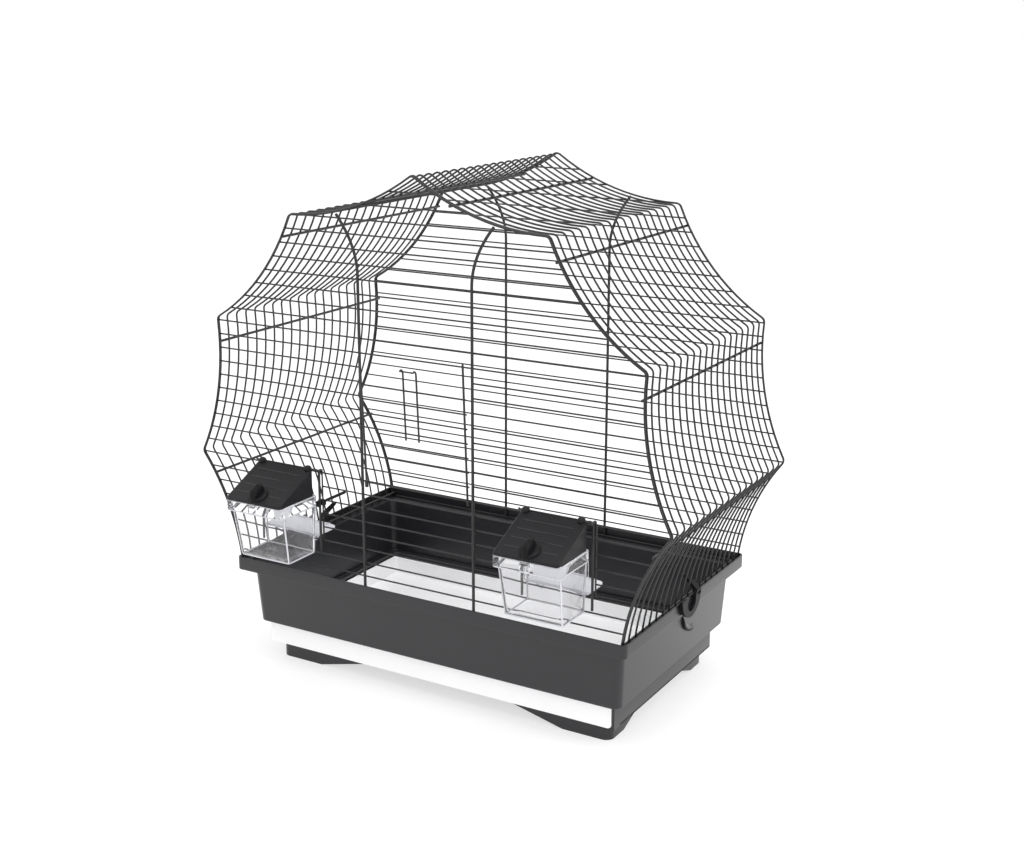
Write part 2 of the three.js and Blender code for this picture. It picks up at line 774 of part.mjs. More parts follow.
// ---------------------------------------------------------------- side clips
// A finger loop outside the rim, and an arm from its top that reaches in over the lip.
function sideClip(hand) {
  const inner = rimWidth / 2 + clearance + 0.3;
  const top = rimTop + 4;
  const bottom = top - clipHeight;
  const y1 = clipArmY + clipArmWidth / 2;
  const y0 = y1 - 2 * clipHalfWidth;
  const clipY = y1 - clipHalfWidth;
  const outer = new THREE.Shape();
  const r = clipHalfWidth;
  outer.moveTo(y1, bottom + r);
  outer.lineTo(y1, top);
  outer.lineTo(y1 - clipArmWidth, top);
  outer.lineTo(y1 - clipBar, bottom + r);
  outer.absarc(clipY, bottom + r, r - clipBar, 0, -Math.PI, true);
  outer.lineTo(y0, bottom + r);
  outer.absarc(clipY, bottom + r, r, -Math.PI, 0, false);
  const loop = plateYZ(outer.getPoints(4), inner, inner + clipThickness);
  const arm = plateXZ(
    [
      [inner, top - clipBar],
      [inner + clipThickness, top - clipBar],
      [inner + clipThickness, top],
      [inner - clipArmReach, top + clipArmRise - 3],
      [inner - clipArmReach, top + clipArmRise - 3 - clipThickness],
      [inner, top - 3],
    ].map(([x, z]) => new THREE.Vector2(x, z)),
    y1 - clipArmWidth,
    y1,
  );
  const clip = loop.add(arm);
  return hand > 0 ? clip : clip.mirror([1, 0, 0]);
}

// ---------------------------------------------------------------- the object
const object = new THREE.Group();
object.name = "bird_cage";
object.position.y = shiftY;
object.add(named("base_tub", baseTub(), "base"));
object.add(named("drawer_plinth", drawerPlinth(), "base"));
object.add(named("drawer_tray", drawerTray(), "tray"));
const panelNames = [
  "wrap_side_right",
  "wrap_flank_right",
  "wrap_shoulder_right",
  "wrap_roof_right",
  "wrap_roof_left",
  "wrap_shoulder_left",
  "wrap_flank_left",
  "wrap_side_left",
];
panelNames.forEach((name, i) => object.add(named(name, wrapPanel(i), "wire")));
object.add(named("front_grille", frontGrille(), "wire"));
object.add(named("front_corner_left", frontCorner(-1), "wire"));
object.add(named("front_corner_right", frontCorner(1), "wire"));
object.add(named("back_grille", panel(panelY, 1), "wire"));
object.add(named("main_door", mainDoor(), "wire"));
object.add(named("door_hook", doorHook(), "wire"));
for (const [side, hand] of [["left", -1], ["right", 1]]) {
  const x = hand * feederX;
  object.add(named(`feeder_bracket_${side}`, feederBracket(x), "wire"));
  object.add(named(`feeder_cup_${side}`, feederCup(x), "clear"));
  object.add(named(`feeder_ledge_${side}`, feederLedge(x), "clear"));
  object.add(named(`feeder_lid_${side}`, feederLid(x), "lid"));
  object.add(named(`perch_peg_${side}`, perchPeg(x, hand), "lid"));
  object.add(named(`side_clip_${side}`, sideClip(hand), "lid"));
}
export default object;
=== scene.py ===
"""Scallop-topped wire bird cage on a moulded base: its looks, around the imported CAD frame.

Lengths are in millimetres in the frame's own axes until a mesh is made, where they turn into metres.
"""

import math  # noqa: E402

import bmesh  # noqa: E402
import bpy  # noqa: E402
from mathutils import Matrix, Vector  # noqa: E402


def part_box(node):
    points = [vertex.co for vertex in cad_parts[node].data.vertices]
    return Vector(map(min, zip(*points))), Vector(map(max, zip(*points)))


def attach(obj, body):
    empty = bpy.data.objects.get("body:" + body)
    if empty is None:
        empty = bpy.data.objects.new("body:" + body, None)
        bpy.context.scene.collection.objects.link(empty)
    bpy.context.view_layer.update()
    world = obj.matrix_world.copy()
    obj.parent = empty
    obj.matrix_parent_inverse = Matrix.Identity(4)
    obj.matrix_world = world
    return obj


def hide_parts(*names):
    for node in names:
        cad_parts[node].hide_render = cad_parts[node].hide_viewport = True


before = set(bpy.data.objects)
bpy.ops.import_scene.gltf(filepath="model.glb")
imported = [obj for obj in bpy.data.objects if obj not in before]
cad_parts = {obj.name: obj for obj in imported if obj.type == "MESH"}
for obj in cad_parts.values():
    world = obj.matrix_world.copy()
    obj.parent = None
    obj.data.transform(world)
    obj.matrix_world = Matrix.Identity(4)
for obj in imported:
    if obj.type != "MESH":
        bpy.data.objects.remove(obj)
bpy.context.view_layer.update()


MM = 0.001  # a millimetre in metres
MM_IN_METRE = 1000


def node_box(name):
    """A CAD node's lowest and highest corners, in millimetres."""
    return [corner * MM_IN_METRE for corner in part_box(name)]


# ---------------------------------------------------------------- places taken from the frame
TUB_LOW, TUB_HIGH = node_box("base_tub")
PLINTH_LOW, PLINTH_HIGH = node_box("drawer_plinth")
TRAY_LOW, TRAY_HIGH = node_box("drawer_tray")
RIM_TOP = TUB_HIGH.z
MID_Y = (TUB_LOW.y + TUB_HIGH.y) / 2
RIM_HALF_X = TUB_HIGH.x
RIM_HALF_Y = (TUB_HIGH.y - TUB_LOW.y) / 2

# ---------------------------------------------------------------- sizes
# The base: its rim, the ledge inside it, its walls, and the two levels below, each set in.
RIM_HEIGHT = 15
RIM_RADIUS = 6
LIP = 1.8
LEDGE_DROP = 10.5
LEDGE_Z = RIM_TOP - LEDGE_DROP
WALL = 2.5
MOUTH_RIB = 3
MOUTH_RIB_HIGH = 1.8
WALL_INSET_X = 11
WALL_INSET_Y = 13.8
WALL_RADIUS = 10
DRAFT = 4
LEVEL_INSET = 9
FOOT_HEIGHT = 19
FOOT_FLAT = (57, 32)
FOOT_RAMP = (80, 52)
FOOT_SKIN = 0.05
# The core of a flat plate: half x, half y and corner radius of the small patch in its middle.
PLATE_CORE = (1, 1, 0.5)

# The drawer: the thickness of its front plate, then how that plate ends.
TRAY_FRONT = 3.2
TRAY_FRONT_RADIUS = 5
TRAY_FRONT_GAP = 0.3
TRAY_FRONT_SIDE = 0.2
TRAY_START = 3
TRAY_WALL = 2
TRAY_RADIUS = 6

# A thumb ridge: its arc's centre from the base's middle and the rim's top, then its arc.
RIDGE_BACK = 36
RIDGE_DROP = 28
RIDGE_RADIUS = 26
RIDGE_START = -177
RIDGE_SWEEP = 106
RIDGE_STEPS = 22
RIDGE_TIP = 0.4
RIDGE_WIDTH = 7.2
RIDGE_RISE = 2.6

# The cage's outline: corners as (x, height above the rim), and how far each stretch bows in.
CAGE_HALF_DEPTH = 150.7
FOOT = (243, -10.2)
HIP = (295, 120)
SHOULDER = (264, 279)
CROWN = (157.6, 400.4)
TOP = 450
SAGS = (10, 12, 13.7, 12.7)
BEND = 6
LAST_STRETCH = 7
ROOF_STRETCH = 3
LEAST_OUT = 0.3

# The cage's wires. A weld is how far two crossing wires sink into each other, and a poke is how
# far a wire's end stands past the last one it crosses.
WRAP_WIRE = 2.15
EDGE_WIRE = 2.2
RUNG_WIRE = 1.8
BAR_WIRE = 3.2
ROD_WIRE = 3.0
WIRE_COUNT = 20
ROD_HEIGHTS = (-6, 95.67, 252.07, 377.19, 424.11)
ROD_POKE = 1.0
ROD_WELD = 0.3
RUNG_PITCH = 15.64
FIRST_RUNG = 9.65
RUNG_COUNT = 28
LOWEST_RUNG = -9
PANEL_INSET = 2.4
PANEL_Y = CAGE_HALF_DEPTH - PANEL_INSET
PANEL_OUTSET = 0.6
BAR_X = 70
BAR_STRAIGHT = 343
BAR_LEAN = 26
BAR_RUN_IN = 40
BAR_FOOT_GAP = 0.3
BAR_TOP_GAP = 2.3
BAR_WELD = 0.55
BAR_STEPS = 12

# The door, from a little below one rung to a little above another, and its hook.
DOOR_WIRE = 2.4
DOOR_HALF = 64
DOOR_POKE = 1.6
DOOR_RUNGS = (7, 14)
DOORWAY_TOP = 16
DOOR_FOOT = 5
DOOR_HEAD = 6
DOOR_BOTTOM = FIRST_RUNG + DOOR_RUNGS[0] * RUNG_PITCH - DOOR_FOOT
DOOR_TOP = FIRST_RUNG + DOORWAY_TOP * RUNG_PITCH + DOOR_HEAD
DOOR_LEAN = math.radians(3)
DOOR_GAP = 0.4
DOOR_WELD = 0.2
SLEEVE_WIRE = DOOR_WIRE + 1.6
SLEEVE_SPAN = (-0.6, 5)
HOOK_HALF = 8.2
HOOK_RISE = 61
HOOK_DROP = 13
HOOK_BOTTOM = DOOR_BOTTOM + HOOK_RISE
HOOK_TOP = DOOR_TOP - HOOK_DROP
HOOK_WIRE = DOOR_WIRE - 0.3
HOOK_GAP = 0.2
HOOK_BEND = 6
HOOK_CURL = ((-0.3, 3), (-1.6, 5), (-3.6, 5.6), (-5.2, 4.8))

# The openings for the feeders, between two rungs, and the brackets beside them.
FEEDER_X = 169.5
OPENING_HALF = 43.2
OPENING_RUNGS = (2, 7)
OPENING_POKE = 0.6
BRACKET_HALF = 40.8
BRACKET_WIRE = 2.8
BRACKET_GAP = 0.1
OPENING_LOW = FIRST_RUNG + OPENING_RUNGS[0] * RUNG_PITCH
BRACKET_DROP = 12.4
BRACKET_BOTTOM = OPENING_LOW - BRACKET_DROP

FIRST_WIRE_Y = MID_Y - CAGE_HALF_DEPTH
WIRE_PITCH = 2 * CAGE_HALF_DEPTH / (WIRE_COUNT - 1)


def rung_z(n):
    """The height of rung n, which is 0 at the lowest one of the regular rows."""
    return RIM_TOP + FIRST_RUNG + n * RUNG_PITCH


# ---------------------------------------------------------------- mesh building
class Shape:
    """Vertices and faces on their way to one mesh, in millimetres."""

    def __init__(self):
        self.verts = []
        self.faces = []

    def add(self, verts, faces):
        start = len(self.verts)
        self.verts += [tuple(v) for v in verts]
        self.faces += [tuple(i + start for i in f) for f in faces]
        return self

    def moved(self, matrix):
        self.verts = [tuple(matrix @ Vector(v)) for v in self.verts]
        return self

    def join(self, other):
        return self.add(other.verts, other.faces)


def loft(rings, cap_start=True, cap_end=True, closed=False):
    """Skins rings of the same number of points."""
    shape = Shape()
    n = len(rings[0])
    verts = [p for ring in rings for p in ring]
    faces = []
    spans = len(rings) if closed else len(rings) - 1
    for k in range(spans):
        a, b = k * n, (k + 1) % len(rings) * n
        faces += [(a + i, a + (i + 1) % n, b + (i + 1) % n, b + i) for i in range(n)]
    if cap_start and not closed:
        faces.append(tuple(reversed(range(n))))
    if cap_end and not closed:
        last = (len(rings) - 1) * n
        faces.append(tuple(range(last, last + n)))
    return shape.add(verts, faces)


# A wire's end face as a share of its radius, and how far back its rounding starts.
END_SHARE = 0.6
END_ROUND = 0.35


def tube(points, diameter, sides=10):
    """A round wire along points, with slightly rounded ends."""
    pts = [Vector(p) for p in points]
    radius = diameter / 2
    ways = [(b - a).normalized() for a, b in zip(pts, pts[1:])]
    tangents = [ways[0]] + [(a + b).normalized() for a, b in zip(ways, ways[1:])] + [ways[-1]]
    side = tangents[0].orthogonal().normalized()
    rings = []

    def ring(centre, tangent, r):
        other = tangent.cross(side)
        rings.append(
            [
                centre + (side * math.cos(a) + other * math.sin(a)) * r
                for a in (2 * math.pi * k / sides for k in range(sides))
            ]
        )

    for i, (p, t) in enumerate(zip(pts, tangents)):
        side = (side - t * side.dot(t)).normalized()
        if i == 0:
            ring(p, t, radius * END_SHARE)
            ring(p + t * radius * END_ROUND, t, radius)
        elif i == len(pts) - 1:
            ring(p - t * radius * END_ROUND, t, radius)
            ring(p, t, radius * END_SHARE)
        else:
            ring(p, t, radius)
    return loft(rings)


def arc(centre, radius, start, end, steps):
    """Points on an arc in a plane, as (u, v). Angles are in degrees."""
    angles = [math.radians(start + (end - start) * k / steps) for k in range(steps + 1)]
    return [(centre[0] + radius * math.cos(a), centre[1] + radius * math.sin(a)) for a in angles]


def rounded_rect(x0, x1, y0, y1, r, z, steps=8):
    """A ring of points, anticlockwise seen from above."""
    corners = (
        ((x1 - r, y1 - r), 0),
        ((x0 + r, y1 - r), 90),
        ((x0 + r, y0 + r), 180),
        ((x1 - r, y0 + r), 270),
    )
    return [(x, y, z) for c, a in corners for x, y in arc(c, r, a, a + 90, steps)]


def soften(profile, amount, steps=3, closed=False):
    """Rounds the corners of a row of points of any dimension."""
    n = len(profile)
    out = []
    for i, p in enumerate(profile):
        if not closed and i in (0, n - 1):
            out.append(p)
            continue
        here = [float(c) for c in p]
        ends = []
        for q in (profile[i - 1], profile[(i + 1) % n]):
            way = [b - a for a, b in zip(here, q)]
            length = math.sqrt(sum(c * c for c in way)) or 1
            share = min(amount / length, 0.45)
            ends.append([a + w * share for a, w in zip(here, way)])
        for k in range(steps + 1):
            t = k / steps
            out.append(
                tuple(
                    (1 - t) ** 2 * a + 2 * t * (1 - t) * b + t * t * c
                    for a, b, c in zip(ends[0], here, ends[1])
                )
            )
    return out


def revolve_rect(profile, amount, closed, mid=(0, MID_Y), **caps):
    """Skins rounded rectangles (half x, half y, corner radius, z) about the base's middle."""
    rings = [
        rounded_rect(mid[0] - hx, mid[0] + hx, mid[1] - hy, mid[1] + hy, max(r, 0.3), z)
        for hx, hy, r, z in soften(profile, amount, closed=closed)
    ]
    return loft(rings, closed=closed, **caps)


def prism(outline, low, high, place):
    """A flat outline made thick. place(u, v, w) turns it into a point."""
    rings = [[place(u, v, w) for u, v in outline] for w in (low, high)]
    return loft(rings)


def upright(u, v, w):
    return (u, v, w)


def along_x(u, v, w):
    return (w, u, v)


def along_y(u, v, w):
    return (u, w, v)


BEVEL_ANGLE = 40


def piece(name, shape, material, body, replaces=(), bevel=0.0, smooth=35, segments=3):
    """A finished mesh from a shape, riding on a body."""
    mesh = bpy.data.meshes.new(name)
    mesh.from_pydata([Vector(v) * MM for v in shape.verts], [], shape.faces)
    bm = bmesh.new()
    bm.from_mesh(mesh)
    bmesh.ops.recalc_face_normals(bm, faces=bm.faces)
    bm.to_mesh(mesh)
    bm.free()
    mesh.shade_smooth()
    mesh.set_sharp_from_angle(angle=math.radians(smooth))
    mesh.materials.append(material)
    made = bpy.data.objects.new(name, mesh)
    bpy.context.scene.collection.objects.link(made)
    if bevel:
        modifier = made.modifiers.new("edges", "BEVEL")
        modifier.width = bevel * MM
        modifier.segments = segments
        modifier.limit_method = "ANGLE"
        modifier.angle_limit = math.radians(BEVEL_ANGLE)
        modifier.harden_normals = True
    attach(made, body)
    if replaces:
        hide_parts(*replaces)
    return made


# ---------------------------------------------------------------- materials
PATCH_SCALE = 14.0
RELIEF_DEPTH = 0.0004


def moulded(name, colour, roughness, mottle=0.1, grain=900.0, bump=0.06, vary=0.12, **inputs):
    """Enamel or moulded plastic: slight mottling in colour and gloss, and a fine grain."""
    made = bpy.data.materials.new(name)
    made.use_nodes = True
    nodes, links = made.node_tree.nodes, made.node_tree.links
    shader = nodes["Principled BSDF"]
    for key, value in inputs.items():
        shader.inputs[key.replace("_", " ")].default_value = value
    place = nodes.new("ShaderNodeTexCoord")
    patches = nodes.new("ShaderNodeTexNoise")
    patches.inputs["Scale"].default_value = PATCH_SCALE
    patches.inputs["Detail"].default_value = 4.0
    links.new(place.outputs["Object"], patches.inputs["Vector"])
    tint = nodes.new("ShaderNodeValToRGB")
    tint.color_ramp.elements[0].color = (*[c * (1 - mottle) for c in colour], 1)
    tint.color_ramp.elements[1].color = (*[min(1, c * (1 + mottle)) for c in colour], 1)
    tint.color_ramp.elements[0].position = 0.3
    tint.color_ramp.elements[1].position = 0.7
    links.new(patches.outputs["Fac"], tint.inputs["Fac"])
    links.new(tint.outputs["Color"], shader.inputs["Base Color"])
    gloss = nodes.new("ShaderNodeMapRange")
    gloss.inputs["To Min"].default_value = roughness * (1 - vary)
    gloss.inputs["To Max"].default_value = roughness * (1 + vary)
    links.new(patches.outputs["Fac"], gloss.inputs["Value"])
    links.new(gloss.outputs["Result"], shader.inputs["Roughness"])
    fine = nodes.new("ShaderNodeTexNoise")
    fine.inputs["Scale"].default_value = grain
    fine.inputs["Detail"].default_value = 3.0
    links.new(place.outputs["Object"], fine.inputs["Vector"])
    relief = nodes.new("ShaderNodeBump")
    relief.inputs["Strength"].default_value = bump
    relief.inputs["Distance"].default_value = RELIEF_DEPTH
    links.new(fine.outputs["Fac"], relief.inputs["Height"])
    links.new(relief.outputs["Normal"], shader.inputs["Normal"])
    return made


wire_paint = moulded("wire_enamel", (0.010, 0.010, 0.010), 0.34, grain=1500.0, bump=0.05)
base_plastic = moulded(
    "base_plastic", (0.0155, 0.0155, 0.0180), 0.28, mottle=0.04, grain=1100.0, bump=0.08, vary=0.03
)
tray_plastic = moulded("tray_plastic", (0.97, 0.97, 0.98), 0.38, mottle=0.02, bump=0.04)
black_plastic = moulded(
    "black_plastic", (0.0085, 0.0085, 0.0095), 0.38, grain=1300.0, bump=0.12, Specular_IOR_Level=0.12
)
lid_plastic = moulded(
    "lid_plastic", (0.0115, 0.0115, 0.013), 0.36, grain=1300.0, bump=0.12, Specular_IOR_Level=0.2
)
# A lighter, glossier copy of the lid's plastic for its ribs: painted highlight along them.
rib_highlight_plastic = moulded("rib_highlight_plastic", (0.020, 0.020, 0.022), 0.3, grain=1300.0, bump=0.05)
clear_plastic = moulded(
    "clear_plastic",
    (0.985, 0.985, 0.998),
    0.02,
    mottle=0.01,
    grain=60.0,
    bump=0.003,
    Transmission_Weight=0.97,
    IOR=1.16,
)
# A whiter, less clear copy of the cup's plastic. On the beads along the cups' edges it is painted
# highlight; the ledges behind the cups are made of it too.
clear_edges = moulded(
    "clear_edges",
    (0.93, 0.935, 0.985),
    0.12,
    mottle=0.02,
    grain=200.0,
    bump=0.05,
    Transmission_Weight=0.35,
    IOR=1.4,
)


# ---------------------------------------------------------------- the cage's outline
def corner_points():
    """The outline's nine corners, from the right foot over the top to the left foot."""
    half = [Vector((x, RIM_TOP + z)) for x, z in (FOOT, HIP, SHOULDER, CROWN)]
    other = [Vector((-p.x, p.y)) for p in reversed(half)]
    return half + [Vector((0, RIM_TOP + TOP))] + other


def stretch_arcs():
    """Each stretch of the outline bows in: an arc about a centre outside the cage."""
    corners = corner_points()
    arcs = []
    for i, (a, b) in enumerate(zip(corners, corners[1:])):
        sag = SAGS[min(i, LAST_STRETCH - i)]
        chord = b - a
        radius = chord.length_squared / (8 * sag) + sag / 2
        outward = Vector((chord.y, -chord.x)).normalized()
        arcs.append(((a + b) / 2 + outward * (radius - sag), radius, a, b))
    return arcs


def bend_centres(arcs):
    """The centre of the small round between each two stretches."""
    centres = []
    for (c0, r0, _, _), (c1, r1, corner, _) in zip(arcs, arcs[1:]):
        a, b = r0 + BEND, r1 + BEND
        between = c1 - c0
        d = between.length
        along = (a * a - b * b + d * d) / (2 * d)
        aside = math.sqrt(a * a - along * along)
        unit = between / d
        inward = Vector((unit.y, -unit.x))
        if inward.dot(corner - c0) < 0:
            inward.negate()
        centres.append(c0 + unit * along + inward * aside)
    return centres


ARCS = stretch_arcs()
BENDS = bend_centres(ARCS)


def turn(centre, start, end, radius, steps):
    """Points on a circle from the direction of start to that of end, the short way round."""
    a0 = math.atan2(start.y - centre.y, start.x - centre.x)
    sweep = math.atan2(end.y - centre.y, end.x - centre.x) - a0
    sweep = (sweep + math.pi) % (2 * math.pi) - math.pi
    angles = [a0 + sweep * k / steps for k in range(steps + 1)]
    return [centre + Vector((math.cos(a), math.sin(a))) * radius for a in angles]


def outline(outset, steps=12, bend_steps=5):
    """The outline from the right foot over the top to the left foot, as (x, z) points."""
    points = []
    for i, (centre, radius, a, b) in enumerate(ARCS):
        start = BENDS[i - 1] if i else a
        end = BENDS[i] if i < LAST_STRETCH else b
        points += turn(centre, start, end, radius - outset, steps)
        if i < LAST_STRETCH:
            points += turn(BENDS[i], centre, ARCS[i + 1][0], BEND + outset, bend_steps)[1:-1]
    return points


def outline_at(z):
    """Where the outline is at height z on the right side, and the way out from it."""
    points = outline(0)
    for a, b in zip(points, points[1:]):
        if a.y <= z <= b.y:
            along = b - a
            x = a.x + along.x * (z - a.y) / along.y
            return Vector((x, z)), Vector((along.y, -along.x)).normalized()
    return points[0], Vector((1, 0))


def half_width(z, outset=0.0):
    """Half the cage's width at height z, for an outline set out by a distance."""
    point, outward = outline_at(z)
    return point.x + outset / max(outward.x, LEAST_OUT)


# ---------------------------------------------------------------- cage wires
def wrap_wires():
    """The wires that run from one side over the top to the other, and the rods across them."""
    shape = Shape()
    line = outline(0)
    for j in range(WIRE_COUNT):
        y = FIRST_WIRE_Y + j * WIRE_PITCH
        shape.join(tube([(p.x, y, p.y) for p in line], WRAP_WIRE, sides=8))
    inset = (WRAP_WIRE + ROD_WIRE) / 2 - ROD_WELD
    for height in ROD_HEIGHTS:
        point, outward = outline_at(RIM_TOP + height)
        at = point - outward * inset
        for hand in (1, -1):
            reach = CAGE_HALF_DEPTH + ROD_POKE
            ends = [(hand * at.x, MID_Y + way * reach, at.y) for way in (-1, 1)]
            shape.join(tube(ends, ROD_WIRE, sides=12))
    return shape


def bar_path(hand, y):
    """A bar's middle: straight up, then curving out to the roof."""
    top = roof_over(BAR_X + BAR_LEAN) - BAR_TOP_GAP
    straight = RIM_TOP + BAR_STRAIGHT
    path = [(hand * BAR_X, y, LEDGE_Z + BAR_FOOT_GAP), (hand * BAR_X, y, straight - BAR_RUN_IN)]
    for k in range(BAR_STEPS + 1):
        t = k / BAR_STEPS
        path.append((hand * (BAR_X + BAR_LEAN * t * t), y, straight + (top - straight) * t))
    return path


def roof_over(x):
    """How high the outline is over x, on the right half of the roof."""
    centre, radius, _, _ = ARCS[ROOF_STRETCH]
    return centre.y - math.sqrt(radius**2 - (x - centre.x) ** 2)


def rung_spans(z, n, front):
    """The stretches of a rung at height z: it stops at the doorway and the feeder openings."""
    width = half_width(z, PANEL_OUTSET)
    gaps = []
    if front and DOOR_RUNGS[0] < n < DOORWAY_TOP:
        gaps.append((-BAR_X, BAR_X))
    if front and OPENING_RUNGS[0] < n < OPENING_RUNGS[1]:
        gaps += [(h * FEEDER_X - OPENING_HALF, h * FEEDER_X + OPENING_HALF) for h in (-1, 1)]
    edges = [-width] + [x for gap in sorted(gaps) for x in gap] + [width]
    return list(zip(edges[::2], edges[1::2]))


def panel_wires(way):
    """A flat panel: its edge wire, rungs and bars. way is -1 at the front and 1 at the back."""
    front = way < 0
    y = MID_Y + way * PANEL_Y
    shape = tube([(p.x, y, p.y) for p in outline(PANEL_OUTSET)], EDGE_WIRE, sides=10)
    levels = [(-1, RIM_TOP + LOWEST_RUNG)] + [(n, rung_z(n)) for n in range(RUNG_COUNT)]
    for n, z in levels:
        for x0, x1 in rung_spans(z, n, front):
            shape.join(tube([(x0, y, z), (x1, y, z)], RUNG_WIRE, sides=8))
    bar_y = y + way * ((BAR_WIRE + RUNG_WIRE) / 2 - BAR_WELD)
    for hand in (-1, 1):
        shape.join(tube(bar_path(hand, bar_y), BAR_WIRE, sides=12))
    if front:
        low, high = (rung_z(n) for n in OPENING_RUNGS)
        for x in (s * FEEDER_X + e * OPENING_HALF for s in (-1, 1) for e in (-1, 1)):
            ends = [(x, y, low - OPENING_POKE), (x, y, high + OPENING_POKE)]
            shape.join(tube(ends, RUNG_WIRE, sides=8))
    return shape


parts = ("side", "flank", "shoulder", "roof")
wraps = [f"wrap_{part}_{side}" for part in parts for side in ("left", "right")]
piece("cage_wrap_wires", wrap_wires(), wire_paint, "cage", wraps)
front_nodes = ["front_grille", "front_corner_left", "front_corner_right"]
piece("front_panel_wires", panel_wires(-1), wire_paint, "cage", front_nodes)
piece("back_panel_wires", panel_wires(1), wire_paint, "cage", ["back_grille"])

# ---------------------------------------------------------------- door
DOOR_PIVOT_Z = RIM_TOP + DOOR_BOTTOM
DOOR_Y = MID_Y - PANEL_Y - (RUNG_WIRE + DOOR_WIRE) / 2 - DOOR_GAP
LEAN = Matrix.Translation((0, DOOR_Y, DOOR_PIVOT_Z)) @ Matrix.Rotation(DOOR_LEAN, 4, "X")


def door_wires():
    """Drawn upright, with z from the door's bottom edge, then leaned out. The left upright has a
    short sleeve on its lower end."""
    shape = Shape()
    high = DOOR_TOP - DOOR_BOTTOM
    across = DOOR_HALF + DOOR_WIRE / 2 + DOOR_POKE
    for hand in (-1, 1):
        x = hand * DOOR_HALF
        shape.join(tube([(x, 0, 0), (x, 0, high)], DOOR_WIRE, sides=12))
    sleeve = [(-DOOR_HALF, -DOOR_WELD, z) for z in SLEEVE_SPAN]
    shape.join(tube(sleeve, SLEEVE_WIRE, sides=12))
    for n in range(DOOR_RUNGS[0], DOOR_RUNGS[1] + 1):
        z = rung_z(n) - DOOR_PIVOT_Z
        shape.join(tube([(-across, DOOR_WELD, z), (across, DOOR_WELD, z)], RUNG_WIRE, sides=8))
    return shape.moved(LEAN)


def hook_wires():
    """One wire: up one prong, out and across at the top, and down the other."""
    low, bend = HOOK_BOTTOM - DOOR_BOTTOM, HOOK_TOP - DOOR_BOTTOM - HOOK_BEND
    y = -(RUNG_WIRE + DOOR_WIRE) / 2 - HOOK_GAP
    left = [(-HOOK_HALF, y, low), (-HOOK_HALF, y, bend)]
    curl = [(-HOOK_HALF, y + v, bend + u) for v, u in HOOK_CURL]
    start = [Vector(p) for p in left + curl]
    mirror = [Vector((-p.x, p.y, p.z)) for p in reversed(start)]
    return tube(start + mirror, HOOK_WIRE, sides=12).moved(LEAN)


piece("door_wires", door_wires(), wire_paint, "door", ["main_door"])
piece("door_hook_wire", hook_wires(), wire_paint, "hook", ["door_hook"])


# ---------------------------------------------------------------- base
def tub_shape():
    """A box section turned round the base: mouth, outer wall, rim, lip, ledge, inner wall and the
    rib round the mouth."""
    wall_x, wall_y = RIM_HALF_X - WALL_INSET_X, RIM_HALF_Y - WALL_INSET_Y
    rim_low = RIM_TOP - RIM_HEIGHT
    under = LEDGE_Z - WALL
    low = TUB_LOW.z
    floor = low + WALL
    lip_x, lip_y = RIM_HALF_X - LIP, RIM_HALF_Y - LIP
    lip_r = RIM_RADIUS - LIP
    wall_r = WALL_RADIUS
    in_x, in_y, in_r = wall_x - WALL, wall_y - WALL, wall_r - WALL
    mouth_x = wall_x - DRAFT - LEVEL_INSET - WALL
    mouth_y = wall_y - DRAFT - LEVEL_INSET - WALL
    profile = [
        (mouth_x, mouth_y, in_r, low),
        (wall_x - DRAFT, wall_y - DRAFT, wall_r, low),
        (wall_x, wall_y, wall_r, under),
        (lip_x, lip_y, lip_r, under),
        (lip_x, lip_y, lip_r, rim_low),
        (RIM_HALF_X, RIM_HALF_Y, RIM_RADIUS, rim_low),
        (RIM_HALF_X, RIM_HALF_Y, RIM_RADIUS, RIM_TOP),
        (lip_x, lip_y, lip_r, RIM_TOP),
        (lip_x, lip_y, lip_r, LEDGE_Z),
        (in_x, in_y, in_r, LEDGE_Z),
        (in_x - DRAFT, in_y - DRAFT, in_r, floor),
        (mouth_x + MOUTH_RIB, mouth_y + MOUTH_RIB, in_r + MOUTH_RIB, floor),
        (mouth_x + MOUTH_RIB, mouth_y + MOUTH_RIB, in_r + MOUTH_RIB, floor + MOUTH_RIB_HIGH),
        (mouth_x, mouth_y, in_r, floor + MOUTH_RIB_HIGH),
    ]
    return revolve_rect(profile, 0.9, closed=True)


def ridge_section(rise):
    """A ridge across its arc, as (share of its width, height over the wall)."""
    return [(-0.3, -1.5), (-0.3, rise), (-0.42, rise), (-0.8, rise * 0.5), (-1, 0.1), (-1, -1.5)]


def ridge_shade_section(rise):
    """A black band along a ridge's steep outer, lower side: painted shade where that side falls into
    shadow.
    """
    return [(0.05, -1.5), (0.05, rise * 0.9), (-0.05, rise * 1.1), (-0.25, rise * 1.1), (-0.32, -1.5)]


def crescent(hand, section):
    """A thumb ridge like a crescent moon on a side wall: thick and steep on its outer, lower side."""
    centre = (MID_Y + RIDGE_BACK, RIM_TOP - RIDGE_DROP)
    rings = []
    for k in range(RIDGE_STEPS + 1):
        t = k / RIDGE_STEPS
        angle = math.radians(RIDGE_START + RIDGE_SWEEP * t)
        width = RIDGE_TIP + RIDGE_WIDTH * math.sin(math.pi * min(1, 0.12 + 0.76 * t)) ** 0.8
        out = (math.cos(angle), math.sin(angle))
        rise = RIDGE_RISE * min(1, 6 * t, 6 * (1 - t)) ** 0.5
        ring = []
        for w, h in section(rise):
            radius = RIDGE_RADIUS + w * width
            y, z = centre[0] + out[0] * radius, centre[1] + out[1] * radius
            ring.append((hand * (wall_face(z) + h), y, z))
        rings.append(ring)
    return loft(rings)


def wall_face(z):
    """Where a side wall's outer face is at height z: it leans in towards its bottom."""
    share = (z - TUB_LOW.z) / (LEDGE_Z - WALL - TUB_LOW.z)
    return RIM_HALF_X - WALL_INSET_X - DRAFT * (1 - share)


